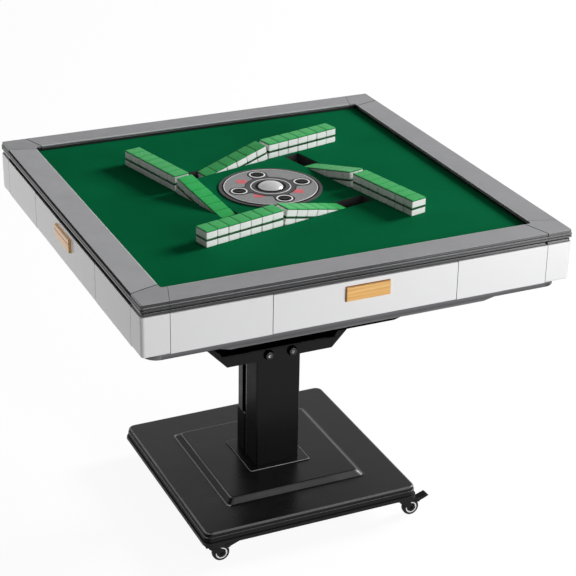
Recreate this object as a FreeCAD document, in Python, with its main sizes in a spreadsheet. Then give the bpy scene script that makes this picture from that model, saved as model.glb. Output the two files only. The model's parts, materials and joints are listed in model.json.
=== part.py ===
import FreeCAD
import Part
import os
import Sketcher

# Automatic four-sided tile game table on a pedestal, in millimetres.
# The origin is on the floor under the middle of the table, X runs to the right along the front
# edge, Y to the back and Z up. The front side faces -Y.

doc = FreeCAD.newDocument("tile_game_table")

dimensions = {
    # table top and its frame
    "table_width": 950,
    "table_height": 779,
    "rail_width": 63,
    "rail_seat": 42,
    "cap_thick": 2.5,
    "neck_height": 2,
    "neck_setback": 3,
    "lip_height": 10.5,
    "band_height": 11,
    "band_setback": 4,
    "band_gap": 6.5,
    "trim_radius": 14,
    "corner_reach": 14,
    "felt_depth": 12,
    "felt_thick": 1.5,
    "seam_gap": 0.8,
    # casing
    "casing_height": 86,
    "casing_wall": 14,
    "post_size": 58,
    "post_radius": 16,
    "post_top": 8,
    # drawers
    "drawer_width": 408,
    "drawer_depth": 130,
    "drawer_height": 66,
    "drawer_wall": 3,
    "drawer_inset": 14,
    "drawer_lift": 1,
    "runner_ledge": 14,
    "runner_guide": 7,
    "runner_height": 12,
    "runner_play": 0.6,
    "runner_end": 1,
    "slide_gap": 0.3,
    "handle_width": 96,
    "handle_height": 30,
    "handle_thick": 7,
    "handle_drop": 14,
    "handle_soften": 2.5,
    # bottom pan
    "pan_sheet": 3,
    "pan_flange_setback": 5,
    "pan_setback": 20,
    "pan_depth": 16,
    "pan_radius": 30,
    "well_depth": 11,
    "well_slope": 30,
    "well_inner_slope": 16,
    "well_lip": 3,
    "shelf_width": 100,
    "hopper_floor": 420,
    "hopper_height": 151,
    # column and its yoke
    "column_width": 108,
    "column_depth": 116,
    "front_tube_depth": 66,
    "column_wall": 3,
    "column_radius": 4,
    "rear_tube_gap": 10,
    "rear_tube_inset": 4,
    "sleeve_height": 97,
    "sleeve_gap": 0.3,
    "sleeve_chamfer": 4,
    "head_height": 40,
    "yoke_thick": 6,
    "yoke_drop": 13,
    "yoke_strip": 35,
    "yoke_foot": 260,
    "yoke_window": 238,
    "yoke_reach": 63,
    "yoke_arm": 35,
    "yoke_hang": 109,
    "bolt_spacing": 58,
    "bolt_radius": 6,
    "bolt_play": 0.3,
    "bolt_head": 9,
    "bolt_head_height": 7,
    "washer_radius": 12,
    "washer_thick": 2,
    # base
    "base_width": 529,
    "base_underside": 54,
    "weight_thick": 9.5,
    "cover_height": 22.5,
    "cover_setback": 3,
    "base_radius": 18,
    "base_soften": 5,
    "base_sheet": 3,
    "step_width": 330,
    "step_height": 12,
    "step_slope": 10,
    "step_radius": 14,
    "step_soften": 3,
    "foot_plate": 151,
    "foot_plate_thick": 3,
    # castors
    "castor_inset": 26,
    "castor_angle": 0,
    "castor_angle_back_right": 110,
    "castor_angle_back_left": 5,
    "wheel_radius": 20,
    "wheel_width": 16,
    "wheel_chamfer": 2,
    "hub_radius": 13,
    "hub_recess": 2,
    "castor_trail": 20,
    "axle_radius": 3,
    "running_gap": 0.06,
    "cheek_gap": 1.5,
    "cheek_thick": 3,
    "castor_plate": 44,
    "castor_plate_thick": 3,
    "king_pin": 5,
    "king_boss": 12,
    "rivet_radius": 8,
    "rivet_height": 2,
    "fork_top": 44,
    "fork_thick": 2.5,
    "pedal_pin": 1.5,
    "pedal_pin_reach": 36,
    "pedal_pin_height": 37,
    "pedal_width": 18,
    "pedal_reach": 64,
    "pedal_thick": 5,
    # tiles and their lifting ramps
    "tile_length": 38.6,
    "tile_width": 28,
    "tile_pitch": 28.2,
    "tile_thick": 18.1,
    "tile_chamfer": 1.2,
    "wall_angle": 13.5,
    "wall_inner": 144.7,
    "wall_start": 303,
    "flat_stacks": 7,
    "ramp_stacks": 6,
    "slot_length": 245,
    "slot_play": 1.5,
    "chute_wall": 3,
    "chute_depth": 72,
    "ramp_angle": 13.5,
    "ramp_thick": 3,
    "ramp_end_gap": 5,
    "ramp_start_gap": 0.6,
    "hinge_drop": 6,
    "hinge_inset": 5.5,
    "barrel_radius": 4,
    "hinge_pin": 1.5,
    # centre disc
    "disc_radius": 114.5,
    "disc_lift_gap": 0.3,
    "disc_rim": 2.5,
    "disc_plug": 100,
    "disc_plug_gap": 1.5,
    "disc_plug_depth": 10,
    "face_radius": 104,
    "face_thick": 1.2,
    "dome_radius": 28.5,
    "dome_height": 12,
    "button_circle": 75,
    "button_radius": 10,
    "button_gap": 0.3,
    "button_rise": 1.5,
    "button_length": 7,
    "button_travel": 2,
    "post_radius_lift": 30,
    "post_length": 190,
    # mechanism in the hopper
    "guide_wall": 8,
    "guide_height": 200,
    "collar_width": 8,
    "collar_height": 6,
    "drum_radius": 195,
    "drum_sheet": 4,
    "drum_rim": 38,
    "drum_hub": 12,
    "drum_hub_height": 24,
    "roller_radius": 30,
    "roller_height": 15,
    "motor_radius": 24,
    "motor_height": 24,
    "motor_shaft": 4,
    "control_size": 56,
    "control_height": 60,
    "control_gap": 3,
    "inlet_width": 50,
    "inlet_depth": 28,
    "inlet_height": 9,
}

sheet = doc.addObject("Spreadsheet::Sheet", "dim")
for row, (alias, value) in enumerate(dimensions.items(), start=1):
    sheet.set(f"A{row}", alias)
    sheet.set(f"B{row}", str(value))
    sheet.setAlias(f"B{row}", alias)
doc.recompute()

# Places that several pieces share, written as expressions of the sheet.
half = "(dim.table_width / 2)"
opening = f"({half} - dim.rail_width)"
seat_edge = f"({opening} + dim.rail_seat)"
seam = f"({half} - dim.post_size)"
top = "dim.table_height"
cap_low = f"({top} - dim.cap_thick)"
neck_low = f"({cap_low} - dim.neck_height)"
lip_low = f"({neck_low} - dim.lip_height)"
casing_top = f"({lip_low} - dim.band_height)"
casing_low = f"({casing_top} - dim.casing_height)"
casing_inner = f"({half} - dim.casing_wall)"
felt_top = f"({top} - dim.felt_depth)"
board_top = f"({felt_top} - dim.felt_thick)"
pan_low = f"({casing_low} - dim.pan_depth)"
pan_half = f"({half} - dim.pan_setback)"
well_low = f"({pan_low} - dim.well_depth)"
well_floor = f"({well_low} + dim.pan_sheet)"
hopper_low = f"({pan_low} - dim.hopper_height)"
hopper_floor_top = f"({hopper_low} + dim.pan_sheet)"
mouth_half = f"({pan_half} - dim.shelf_width)"
floor_half = "(dim.hopper_floor / 2)"
drawer_half = "(dim.drawer_width / 2)"
drawer_box_half = f"({drawer_half} - dim.drawer_inset)"
drawer_back = f"({casing_inner} - dim.drawer_depth)"
drawer_low = f"({casing_low} + dim.seam_gap)"
drawer_box_low = f"({casing_low} + dim.drawer_lift)"
column_front = "(-dim.column_depth / 2)"
column_back = "(dim.column_depth / 2)"
column_half = "(dim.column_width / 2)"
front_tube_back = f"({column_front} + dim.front_tube_depth)"
rear_tube_front = f"({front_tube_back} + dim.rear_tube_gap)"
rear_tube_back = f"({column_back} - dim.rear_tube_inset)"
rear_tube_half = f"({column_half} - dim.rear_tube_inset)"
bolt_level = f"({hopper_low} - dim.yoke_hang)"
yoke_low = f"({bolt_level} - dim.yoke_drop)"
head_top = f"({bolt_level} + dim.head_height / 2)"
head_low = f"({bolt_level} - dim.head_height / 2)"
base_half = "(dim.base_width / 2)"
weight_top = "(dim.base_underside + dim.weight_thick)"
cover_top = f"({weight_top} + dim.cover_height)"
step_top = f"({cover_top} + dim.step_height)"
foot_top = f"({step_top} + dim.foot_plate_thick)"
castor_place = f"({base_half} - dim.castor_inset)"
slot_start = "(-dim.wall_start + dim.flat_stacks * dim.tile_pitch)"
slot_end = f"({slot_start} + dim.slot_length)"
row_inner = "(-dim.wall_inner)"
row_outer = "(-dim.wall_inner - dim.tile_length)"
hinge_along = f"({slot_start} + dim.hinge_inset)"
hinge_level = f"({felt_top} - dim.hinge_drop)"
disc_low = f"({felt_top} + dim.disc_lift_gap)"
disc_top = f"({disc_low} + dim.disc_rim)"
face_top = f"({disc_top} + dim.face_thick)"
plug_low = f"({felt_top} - dim.disc_plug_depth)"
hole_radius = "(dim.disc_plug + dim.disc_plug_gap)"
guide_outer = "(dim.post_radius_lift + dim.running_gap + dim.guide_wall)"
drum_low = f"({hopper_floor_top} + dim.collar_height + dim.slide_gap)"
roller_circle = "(dim.drum_radius + dim.roller_radius + dim.slide_gap)"

sides = ("front", "right", "back", "left")
corners = ("front_left", "front_right", "back_right", "back_left")
nodes = []


def keep(piece, label):
    piece.Label = label
    nodes.append(piece)
    return piece


def number(expression):
    return float(sheet.evalExpression(expression.replace("dim.", "")))


def block(name, x, y, z):
    piece = doc.addObject("Part::Box", name)
    for size, axis, (low, high) in (("Length", "x", x), ("Width", "y", y), ("Height", "z", z)):
        piece.setExpression(size, f"({high}) - ({low})")
        piece.setExpression(f"Placement.Base.{axis}", low)
    return piece


def centred(width):
    return f"-({width})", f"({width})"


def post(name, radius, z, x="0", y="0"):
    piece = doc.addObject("Part::Cylinder", name)
    piece.setExpression("Radius", radius)
    piece.setExpression("Height", f"({z[1]}) - ({z[0]})")
    piece.setExpression("Placement.Base.x", x)
    piece.setExpression("Placement.Base.y", y)
    piece.setExpression("Placement.Base.z", z[0])
    return piece


def cross_pin(name, radius, x, y, z):
    piece = doc.addObject("Part::Cylinder", name)
    piece.Placement.Rotation = FreeCAD.Rotation(FreeCAD.Vector(1, 0, 0), -90)
    piece.setExpression("Radius", radius)
    piece.setExpression("Height", f"({y[1]}) - ({y[0]})")
    piece.setExpression("Placement.Base.x", x)
    piece.setExpression("Placement.Base.y", y[0])
    piece.setExpression("Placement.Base.z", z)
    return piece


def hex_pin(name, radius, x, y, z):
    piece = doc.addObject("Part::Prism", name)
    piece.Polygon = 6
    piece.Placement.Rotation = FreeCAD.Rotation(FreeCAD.Vector(1, 0, 0), -90)
    piece.setExpression("Circumradius", radius)
    piece.setExpression("Height", f"({y[1]}) - ({y[0]})")
    piece.setExpression("Placement.Base.x", x)
    piece.setExpression("Placement.Base.y", y[0])
    piece.setExpression("Placement.Base.z", z)
    return piece


def tapered_box(name, low, high, z):
    # A box whose rectangle changes from low to high, each given as (x0, x1, y0, y1).
    piece = doc.addObject("Part::Wedge", name)
    piece.Placement.Rotation = FreeCAD.Rotation(FreeCAD.Vector(1, 0, 0), 90)
    for edge, value in zip(("Xmin", "Xmax", "Zmax", "Zmin"), low):
        piece.setExpression(edge, value if edge[0] == "X" else f"-({value})")
    for edge, value in zip(("X2min", "X2max", "Z2max", "Z2min"), high):
        piece.setExpression(edge, value if edge[0] == "X" else f"-({value})")
    piece.setExpression("Ymin", z[0])
    piece.setExpression("Ymax", z[1])
    return piece


def square(reach):
    return f"-({reach})", f"({reach})", f"-({reach})", f"({reach})"


def fuse(name, *pieces):
    piece = doc.addObject("Part::MultiFuse", name)
    piece.Shapes = list(pieces)
    piece.Refine = True
    return piece


def cut(name, base, *tools):
    piece = doc.addObject("Part::Cut", name)
    piece.Base = base
    piece.Tool = tools[0] if len(tools) == 1 else fuse(f"{name}_tools", *tools)
    piece.Refine = True
    return piece


def group(name, pieces):
    piece = doc.addObject("Part::Compound", name)
    piece.Links = list(pieces)
    return piece


def turned(name, piece, turn, place="vector(0; 0; 0)"):
    copy = group(name, [piece])
    copy.setExpression("Placement", f"placement({place}; rotation(vector(0; 0; 1); {turn}))")
    return copy


def four_turns(name, piece, turn="0"):
    copies = [turned(f"{name}_{side}", piece, f"{turn} + {90 * index}") for index, side in enumerate(sides)]
    return group(name, copies)


def mirrored(name, piece, normal):
    copy = doc.addObject("Part::Mirroring", name)
    copy.Source = piece
    copy.Normal = normal
    return copy


def outline(body, name, plane, points, offset="0"):
    # A closed sketch of straight lines, with each corner held by two dimensions.
    sketch = body.newObject("Sketcher::SketchObject", name)
    support = [feature for feature in body.Origin.OriginFeatures if feature.Role == plane]
    sketch.AttachmentSupport = [(support[0], "")]
    sketch.MapMode = "FlatFace"
    sketch.setExpression("AttachmentOffset.Base.z", offset)
    places = [FreeCAD.Vector(number(x), number(y), 0) for x, y in points]
    for index, place in enumerate(places):
        sketch.addGeometry(Part.LineSegment(place, places[(index + 1) % len(places)]), False)
    for index in range(len(points)):
        sketch.addConstraint(Sketcher.Constraint("Coincident", index, 2, (index + 1) % len(points), 1))
    for index, (x, y) in enumerate(points):
        across = sketch.addConstraint(Sketcher.Constraint("DistanceX", -1, 1, index, 1, places[index].x))
        sketch.setExpression(f"Constraints[{across}]", x)
        along = sketch.addConstraint(Sketcher.Constraint("DistanceY", -1, 1, index, 1, places[index].y))
        sketch.setExpression(f"Constraints[{along}]", y)
    return sketch


def pad(body, name, sketch, length):
    piece = body.newObject("PartDesign::Pad", name)
    piece.Profile = sketch
    piece.setExpression("Length", length)
    doc.recompute()
    return piece


def edge_names(feature, test):
    return [f"Edge{index}" for index, edge in enumerate(feature.Shape.Edges, start=1) if test(edge)]


def rises(edge):
    heights = [vertex.Z for vertex in edge.Vertexes]
    return max(heights) - min(heights) > 1e-6


def lies_at(height):
    return lambda edge: all(abs(vertex.Z - height) < 1e-6 for vertex in edge.Vertexes)


def round_edges(body, name, feature, test, radius):
    piece = body.newObject("PartDesign::Fillet", name)
    piece.Base = (feature, edge_names(feature, test))
    piece.setExpression("Radius", radius)
    doc.recompute()
    return piece


def bevel_edges(body, name, feature, test, size):
    piece = body.newObject("PartDesign::Chamfer", name)
    piece.Base = (feature, edge_names(feature, test))
    piece.setExpression("Size", size)
    doc.recompute()
    return piece


def slab(name, x, y, z, radius, slope=None, corner=None):
    # An upright block with rounded upright edges, all of them or only the one at the given corner.
    body = doc.addObject("PartDesign::Body", name)
    points = ((x[0], y[0]), (x[1], y[0]), (x[1], y[1]), (x[0], y[1]))
    sketch = outline(body, f"{name}_outline", "XY_Plane", points, z[0])
    solid = pad(body, f"{name}_pad", sketch, f"({z[1]}) - ({z[0]})")
    if slope:
        solid.setExpression("TaperAngle", f"-atan(({slope}) / (({z[1]}) - ({z[0]})))")
        doc.recompute()
    middle_x = (number(x[0]) + number(x[1])) / 2
    middle_y = (number(y[0]) + number(y[1])) / 2

    def chosen(edge):
        if corner is None:
            return rises(edge)
        place = edge.CenterOfMass
        return rises(edge) and (place.x - middle_x) * corner[0] > 0 and (place.y - middle_y) * corner[1] > 0

    round_edges(body, f"{name}_round", solid, chosen, radius)
    return body


def sheet_plate(name, points, front, thick):
    # An upright plate, drawn in X and Z, whose front face is at the given Y.
    body = doc.addObject("PartDesign::Body", name)
    sketch = outline(body, f"{name}_outline", "XZ_Plane", points, f"-(({front}) + ({thick}))")
    pad(body, f"{name}_pad", sketch, thick)
    return body


# Pedestal


def make_base():
    reach = centred(base_half)
    weight = slab("weight", reach, reach, ("dim.base_underside", weight_top), "dim.base_radius")
    keep(weight, "base_weight")

    rim = f"({base_half} - dim.cover_setback)"
    reach = centred(rim)
    lid = slab("cover_lid", reach, reach, (weight_top, cover_top), "dim.base_radius")
    round_edges(lid, "cover_lid_soft", lid.Tip, lies_at(number(cover_top)), "dim.base_soften")
    reach = centred("dim.step_width / 2")
    step = slab("cover_step", reach, reach, (cover_top, step_top), "dim.step_radius", "dim.step_slope")
    round_edges(step, "cover_step_soft", step.Tip, lies_at(number(step_top)), "dim.step_soften")
    solid = fuse("cover_solid", lid, step)

    reach = centred(f"{rim} - dim.base_sheet")
    under_lid = block("cover_under_lid", reach, reach, (weight_top, f"{cover_top} - dim.base_sheet"))
    foot = "dim.step_width / 2 - dim.step_slope - dim.base_sheet"
    reach = centred(foot)
    under_step = block("cover_under_step", reach, reach, (weight_top, f"{step_top} - dim.base_sheet"))
    keep(cut("cover", solid, under_lid, under_step), "base_cover")

    reach = centred("dim.foot_plate / 2")
    keep(slab("foot", reach, reach, (step_top, foot_top), "dim.column_radius"), "column_flange")


def bolt_holes(name, y):
    play = "dim.bolt_radius + dim.bolt_play"
    return [
        cross_pin(f"{name}_{side}", play, f"{sign}dim.bolt_spacing / 2", y, bolt_level)
        for side, sign in (("left", "-"), ("right", ""))
    ]


def make_column():
    wide = centred(column_half)
    inner = centred(f"{column_half} - dim.column_wall")
    deep = (column_front, front_tube_back)
    tube = slab("front_tube", wide, deep, (foot_top, head_top), "dim.column_radius")
    hollow = block(
        "front_tube_hollow",
        inner,
        (f"{column_front} + dim.column_wall", f"{front_tube_back} - dim.column_wall"),
        (foot_top, f"{head_top} - dim.column_wall"),
    )
    holes = bolt_holes("front_tube_hole", (column_front, front_tube_back))
    keep(cut("front_column", tube, hollow, *holes), "column_front")

    deep = (rear_tube_front, rear_tube_back)
    tube = slab("rear_tube", centred(rear_tube_half), deep, (foot_top, head_low), "dim.column_radius")
    hollow = block(
        "rear_tube_hollow",
        centred(f"{rear_tube_half} - dim.column_wall"),
        (f"{rear_tube_front} + dim.column_wall", f"{rear_tube_back} - dim.column_wall"),
        (foot_top, head_low),
    )
    keep(cut("rear_column", tube, hollow), "column_rear")

    sleeve_top = f"{foot_top} + dim.sleeve_height"
    sleeve_front = f"{rear_tube_front} - dim.sleeve_gap - dim.column_wall"
    deep = (sleeve_front, column_back)
    sleeve = slab("sleeve_outer", wide, deep, (foot_top, sleeve_top), "dim.column_radius")
    bevel_edges(sleeve, "sleeve_bevel", sleeve.Tip, lies_at(number(sleeve_top)), "dim.sleeve_chamfer / 2")
    hollow = slab(
        "sleeve_hollow",
        centred(f"{rear_tube_half} + dim.sleeve_gap"),
        (f"{rear_tube_front} - dim.sleeve_gap", f"{rear_tube_back} + dim.sleeve_gap"),
        (foot_top, sleeve_top),
        "dim.column_radius + dim.sleeve_gap",
    )
    keep(cut("sleeve", sleeve, hollow), "column_sleeve")

    head = slab("head", wide, (front_tube_back, column_back), (head_low, head_top), "dim.column_radius / 2")
    holes = bolt_holes("head_hole", (front_tube_back, column_back))
    keep(cut("column_top", head, *holes), "column_head")


def make_yoke():
    slope = f"(({mouth_half} - {floor_half}) / dim.hopper_height)"
    strip_top = f"({yoke_low} + dim.yoke_strip)"
    tip = f"({hopper_low} + dim.yoke_reach)"
    tip_inner = f"({floor_half} + dim.yoke_reach * {slope})"
    half_points = (
        ("dim.yoke_foot / 2", yoke_low),
        (f"{tip_inner} + dim.yoke_arm", tip),
        (tip_inner, tip),
        (floor_half, hopper_low),
        (f"{floor_half} - dim.yoke_thick", hopper_low),
        ("dim.yoke_window / 2", strip_top),
    )
    points = half_points + tuple((f"-({x})", z) for x, z in reversed(half_points))
    front = f"{column_front} - dim.yoke_thick"
    plates = []
    for name, place in (("yoke_front", front), ("yoke_rear", column_back)):
        plate = sheet_plate(name, points, place, "dim.yoke_thick")
        holes = bolt_holes(f"{name}_hole", (place, f"{place} + dim.yoke_thick"))
        plates.append(cut(f"{name}_plate", plate, *holes))

    # The plates are joined by a sheet along their lower edge, open where the column comes up.
    sheet_top = f"({yoke_low} + dim.yoke_thick)"
    half_points = (
        ("dim.yoke_foot / 2", yoke_low),
        (f"{tip_inner} + dim.yoke_arm", tip),
        (f"{tip_inner} + dim.yoke_arm - 1.5 * dim.yoke_thick", tip),
        ("dim.yoke_foot / 2 - dim.yoke_thick / 2", sheet_top),
    )
    points = half_points + tuple((f"-({x})", z) for x, z in reversed(half_points))
    trough = sheet_plate("yoke_trough", points, column_front, "dim.column_depth")
    opening_half = centred(f"{column_half} + dim.seam_gap")
    passage = block("yoke_passage", opening_half, (column_front, column_back), (yoke_low, sheet_top))
    keep(fuse("yoke", *plates, cut("yoke_sheet", trough, passage)), "yoke_cradle")

    rear = f"({column_back} + dim.yoke_thick)"
    bolts = []
    for side, sign in (("left", "-"), ("right", "")):
        x = f"{sign}dim.bolt_spacing / 2"
        z = bolt_level
        washer = f"({front} - dim.washer_thick)"
        head = (f"{washer} - dim.bolt_head_height", washer)
        nut = (rear, f"{rear} + dim.bolt_head_height")
        bolts.append(
            fuse(
                f"bolt_{side}",
                cross_pin(f"bolt_{side}_shank", "dim.bolt_radius", x, (washer, rear), z),
                cross_pin(f"bolt_{side}_washer", "dim.washer_radius", x, (washer, front), z),
                cross_pin(f"bolt_{side}_head", "dim.bolt_head", x, head, z),
                hex_pin(f"bolt_{side}_nut", "dim.bolt_head", x, nut, z),
            )
        )
    keep(group("bolts", bolts), "yoke_bolts")


# Castors, drawn with the swivel axis on the Z axis and the wheel trailing to +X


def castor_copy(name, piece, index):
    x = ("-", "", "", "-")[index] + castor_place
    y = ("-", "-", "", "")[index] + castor_place
    angle = ("", "", "_back_right", "_back_left")[index]
    return turned(name, piece, f"dim.castor_angle{angle}", f"vector({x}; {y}; 0)")


def make_castors():
    fork_low = "(dim.fork_top - dim.fork_thick)"
    boss_low = "(dim.fork_top + dim.slide_gap)"
    plate_low = "(dim.base_underside - dim.castor_plate_thick)"
    rivet_top = f"({fork_low} - dim.slide_gap)"
    reach = centred("dim.castor_plate / 2")
    plate = fuse(
        "castor_mount",
        block("castor_mount_plate", reach, reach, (plate_low, "dim.base_underside")),
        post("castor_mount_boss", "dim.king_boss", (boss_low, plate_low)),
        post("castor_mount_pin", "dim.king_pin", (rivet_top, boss_low)),
        post("castor_mount_rivet", "dim.rivet_radius", (f"{rivet_top} - dim.rivet_height", rivet_top)),
    )
    mounts = [castor_copy(f"castor_mount_{corner}", plate, index) for index, corner in enumerate(corners)]
    keep(group("castor_mounts", mounts), "castor_plates")

    cheek_inner = "(dim.wheel_width / 2 + dim.cheek_gap)"
    cheek_outer = f"({cheek_inner} + dim.cheek_thick)"
    pin_eye = "(dim.pedal_pin_reach + 2 * dim.pedal_pin)"
    points = (
        (f"-dim.king_boss", fork_low),
        ("dim.castor_trail - 2 * dim.axle_radius", "dim.wheel_radius - 2 * dim.axle_radius"),
        ("dim.castor_trail + 2 * dim.axle_radius", "dim.wheel_radius - 2 * dim.axle_radius"),
        (pin_eye, "dim.pedal_pin_height - 2 * dim.pedal_pin"),
        (pin_eye, "dim.fork_top"),
        (f"-dim.king_boss", "dim.fork_top"),
    )
    crown = block(
        "fork_crown",
        (f"-dim.king_boss", "dim.rivet_radius + dim.castor_trail / 2"),
        centred(cheek_inner),
        (fork_low, "dim.fork_top"),
    )
    cheeks = [
        sheet_plate("fork_cheek_front", points, f"-{cheek_outer}", "dim.cheek_thick"),
        sheet_plate("fork_cheek_back", points, cheek_inner, "dim.cheek_thick"),
    ]
    across = centred(cheek_inner)
    axle = cross_pin("fork_axle", "dim.axle_radius", "dim.castor_trail", across, "dim.wheel_radius")
    bore = post("fork_bore", "dim.king_pin + dim.running_gap", (fork_low, "dim.fork_top"))
    plain_fork = cut("fork_plain", fuse("fork_solid", crown, axle, *cheeks), bore)
    pedal_pin = cross_pin(
        "fork_pedal_pin", "dim.pedal_pin", "dim.pedal_pin_reach", centred(cheek_inner), "dim.pedal_pin_height"
    )
    braked_fork = fuse("fork_braked", plain_fork, pedal_pin)

    wheel_body = doc.addObject("PartDesign::Body", "wheel")
    side = "(dim.wheel_width / 2)"
    bead = "(dim.wheel_radius - dim.wheel_chamfer)"
    bore_radius = "(dim.axle_radius + dim.running_gap)"
    points = (
        (bore_radius, f"-({side} - dim.hub_recess)"),
        ("dim.hub_radius", f"-({side} - dim.hub_recess)"),
        ("dim.hub_radius + dim.wheel_chamfer", f"-{side}"),
        (bead, f"-{side}"),
        ("dim.wheel_radius", f"-({side} - dim.wheel_chamfer)"),
        ("dim.wheel_radius", f"{side} - dim.wheel_chamfer"),
        (bead, side),
        ("dim.hub_radius + dim.wheel_chamfer", side),
        ("dim.hub_radius", f"{side} - dim.hub_recess"),
        (bore_radius, f"{side} - dim.hub_recess"),
    )
    profile = outline(wheel_body, "wheel_profile", "XY_Plane", points)
    spin = wheel_body.newObject("PartDesign::Revolution", "wheel_spin")
    spin.Profile = profile
    spin.ReferenceAxis = (profile, ["V_Axis"])
    spin.Angle = 360
    doc.recompute()
    wheel = group("wheel_placed", [wheel_body])
    wheel.setExpression("Placement.Base.x", "dim.castor_trail")
    wheel.setExpression("Placement.Base.z", "dim.wheel_radius")

    eye = "(2 * dim.pedal_pin)"
    pad_end = "dim.pedal_reach"
    pad_rise = "(dim.fork_top + dim.pedal_thick / 2)"
    points = (
        (f"dim.pedal_pin_reach - {eye} / 2", f"dim.pedal_pin_height - {eye} * 2 / 3"),
        (f"dim.pedal_pin_reach + {eye}", f"dim.pedal_pin_height - {eye}"),
        (f"{pad_end} - dim.pedal_thick", f"{pad_rise} - dim.pedal_thick"),
        (pad_end, f"{pad_rise} - dim.pedal_thick / 2"),
        (f"{pad_end} - dim.pedal_thick", f"{pad_rise} + dim.pedal_thick / 3"),
        (f"dim.pedal_pin_reach - {eye} / 2", f"dim.pedal_pin_height + {eye}"),
    )
    lever = sheet_plate("pedal_lever", points, "-dim.pedal_width / 2", "dim.pedal_width")
    eye_bore = cross_pin(
        "pedal_bore",
        "dim.pedal_pin + dim.running_gap",
        "dim.pedal_pin_reach",
        centred("dim.pedal_width / 2"),
        "dim.pedal_pin_height",
    )
    pedal = cut("pedal", lever, eye_bore)

    for index, corner in enumerate(corners):
        braked = corner.startswith("front")
        fork = braked_fork if braked else plain_fork
        keep(castor_copy(f"fork_{corner}", fork, index), f"castor_fork_{corner}")
        keep(castor_copy(f"wheel_{corner}", wheel, index), f"castor_wheel_{corner}")
        if braked:
            keep(castor_copy(f"pedal_{corner}", pedal, index), f"brake_pedal_{corner}")


# Casing


def make_pan():
    sheet_in = "dim.pan_sheet"
    reach = centred(f"{half} - dim.pan_flange_setback")
    flange = block("pan_flange", reach, reach, (f"{casing_low} - {sheet_in}", casing_low))
    reach = centred(pan_half)
    tray = slab("pan_tray", reach, reach, (pan_low, casing_low), "dim.pan_radius")
    inner = f"({pan_half} - {sheet_in})"
    reach = centred(inner)
    tray_hollow = slab(
        "pan_hollow", reach, reach, (f"{pan_low} + {sheet_in}", casing_low), f"dim.pan_radius - {sheet_in}"
    )
    hopper = tapered_box("pan_hopper", square(floor_half), square(mouth_half), (hopper_low, pan_low))
    hopper_hollow = tapered_box(
        "pan_hopper_hollow",
        square(f"{floor_half} - {sheet_in}"),
        square(f"{mouth_half} - {sheet_in}"),
        (hopper_floor_top, f"{pan_low} + {sheet_in}"),
    )

    def drawer_well(name, wall, z):
        low_half = f"({drawer_half} - {wall})"
        high_half = f"({drawer_half} + dim.well_slope - {wall})"
        outer = f"({pan_half} - dim.well_lip - {wall})"
        bottom = f"({mouth_half} + dim.well_inner_slope + {wall})"
        well_top = f"({mouth_half} + {wall})"
        low = (f"-{low_half}", low_half, f"-({outer} - dim.well_lip)", f"-{bottom}")
        high = (f"-{high_half}", high_half, f"-{outer}", f"-{well_top}")
        return four_turns(name, tapered_box(f"{name}_shape", low, high, z))

    wells = drawer_well("pan_wells", "0", (well_low, pan_low))
    well_hollows = drawer_well("pan_well_hollows", sheet_in, (well_floor, f"{pan_low} + {sheet_in}"))
    solid = fuse("pan_solid", flange, tray, hopper, wells)
    keep(cut("pan", solid, tray_hollow, hopper_hollow, well_hollows), "bottom_pan")


def make_casing():
    deep = (f"-{half}", f"-{casing_inner}")
    tall = (casing_low, casing_top)
    inner_end = f"({drawer_half} + dim.seam_gap)"
    outer_end = f"({seam} - dim.seam_gap)"
    right = block("panel_right", (inner_end, outer_end), deep, tall)
    left = block("panel_left", (f"-{outer_end}", f"-{inner_end}"), deep, tall)
    keep(four_turns("panels", group("panel_pair", [right, left])), "side_panels")

    wide, deep = (seam, half), (f"-{half}", f"-{seam}")
    shell = slab("post_shell", wide, deep, tall, "dim.post_radius", corner=(1, -1))
    hollow = block(
        "post_hollow",
        (seam, casing_inner),
        (f"-{casing_inner}", f"-{seam}"),
        (casing_low, f"{casing_top} - dim.post_top"),
    )
    keep(four_turns("posts", cut("post_piece", shell, hollow)), "corner_posts")


def make_trim():
    steps = (
        ("neck", f"({half} - dim.neck_setback)", "dim.seam_gap", (neck_low, cap_low)),
        ("lip", half, "dim.seam_gap", (lip_low, neck_low)),
        ("band", f"({half} - dim.band_setback)", "dim.band_gap", (casing_top, lip_low)),
    )
    bars = []
    elbows = []
    for name, reach, gap, z in steps:
        bars.append(block(f"trim_{name}", centred(f"{seam} - {gap}"), (f"-{reach}", f"-{seat_edge}"), z))
        radius = f"dim.trim_radius - ({half} - {reach})"
        wide, deep = (seam, reach), (f"-{reach}", f"-{seam}")
        elbows.append(slab(f"elbow_{name}", wide, deep, z, radius, corner=(1, -1)))
    bar = fuse("trim_bar", *bars)
    notch = block("elbow_notch", (seam, seat_edge), (f"-{seat_edge}", f"-{seam}"), (casing_top, cap_low))
    elbow = cut("trim_elbow", fuse("elbow_solid", *elbows), notch)
    keep(four_turns("trim", group("trim_side", [bar, elbow])), "edge_trim")


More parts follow.
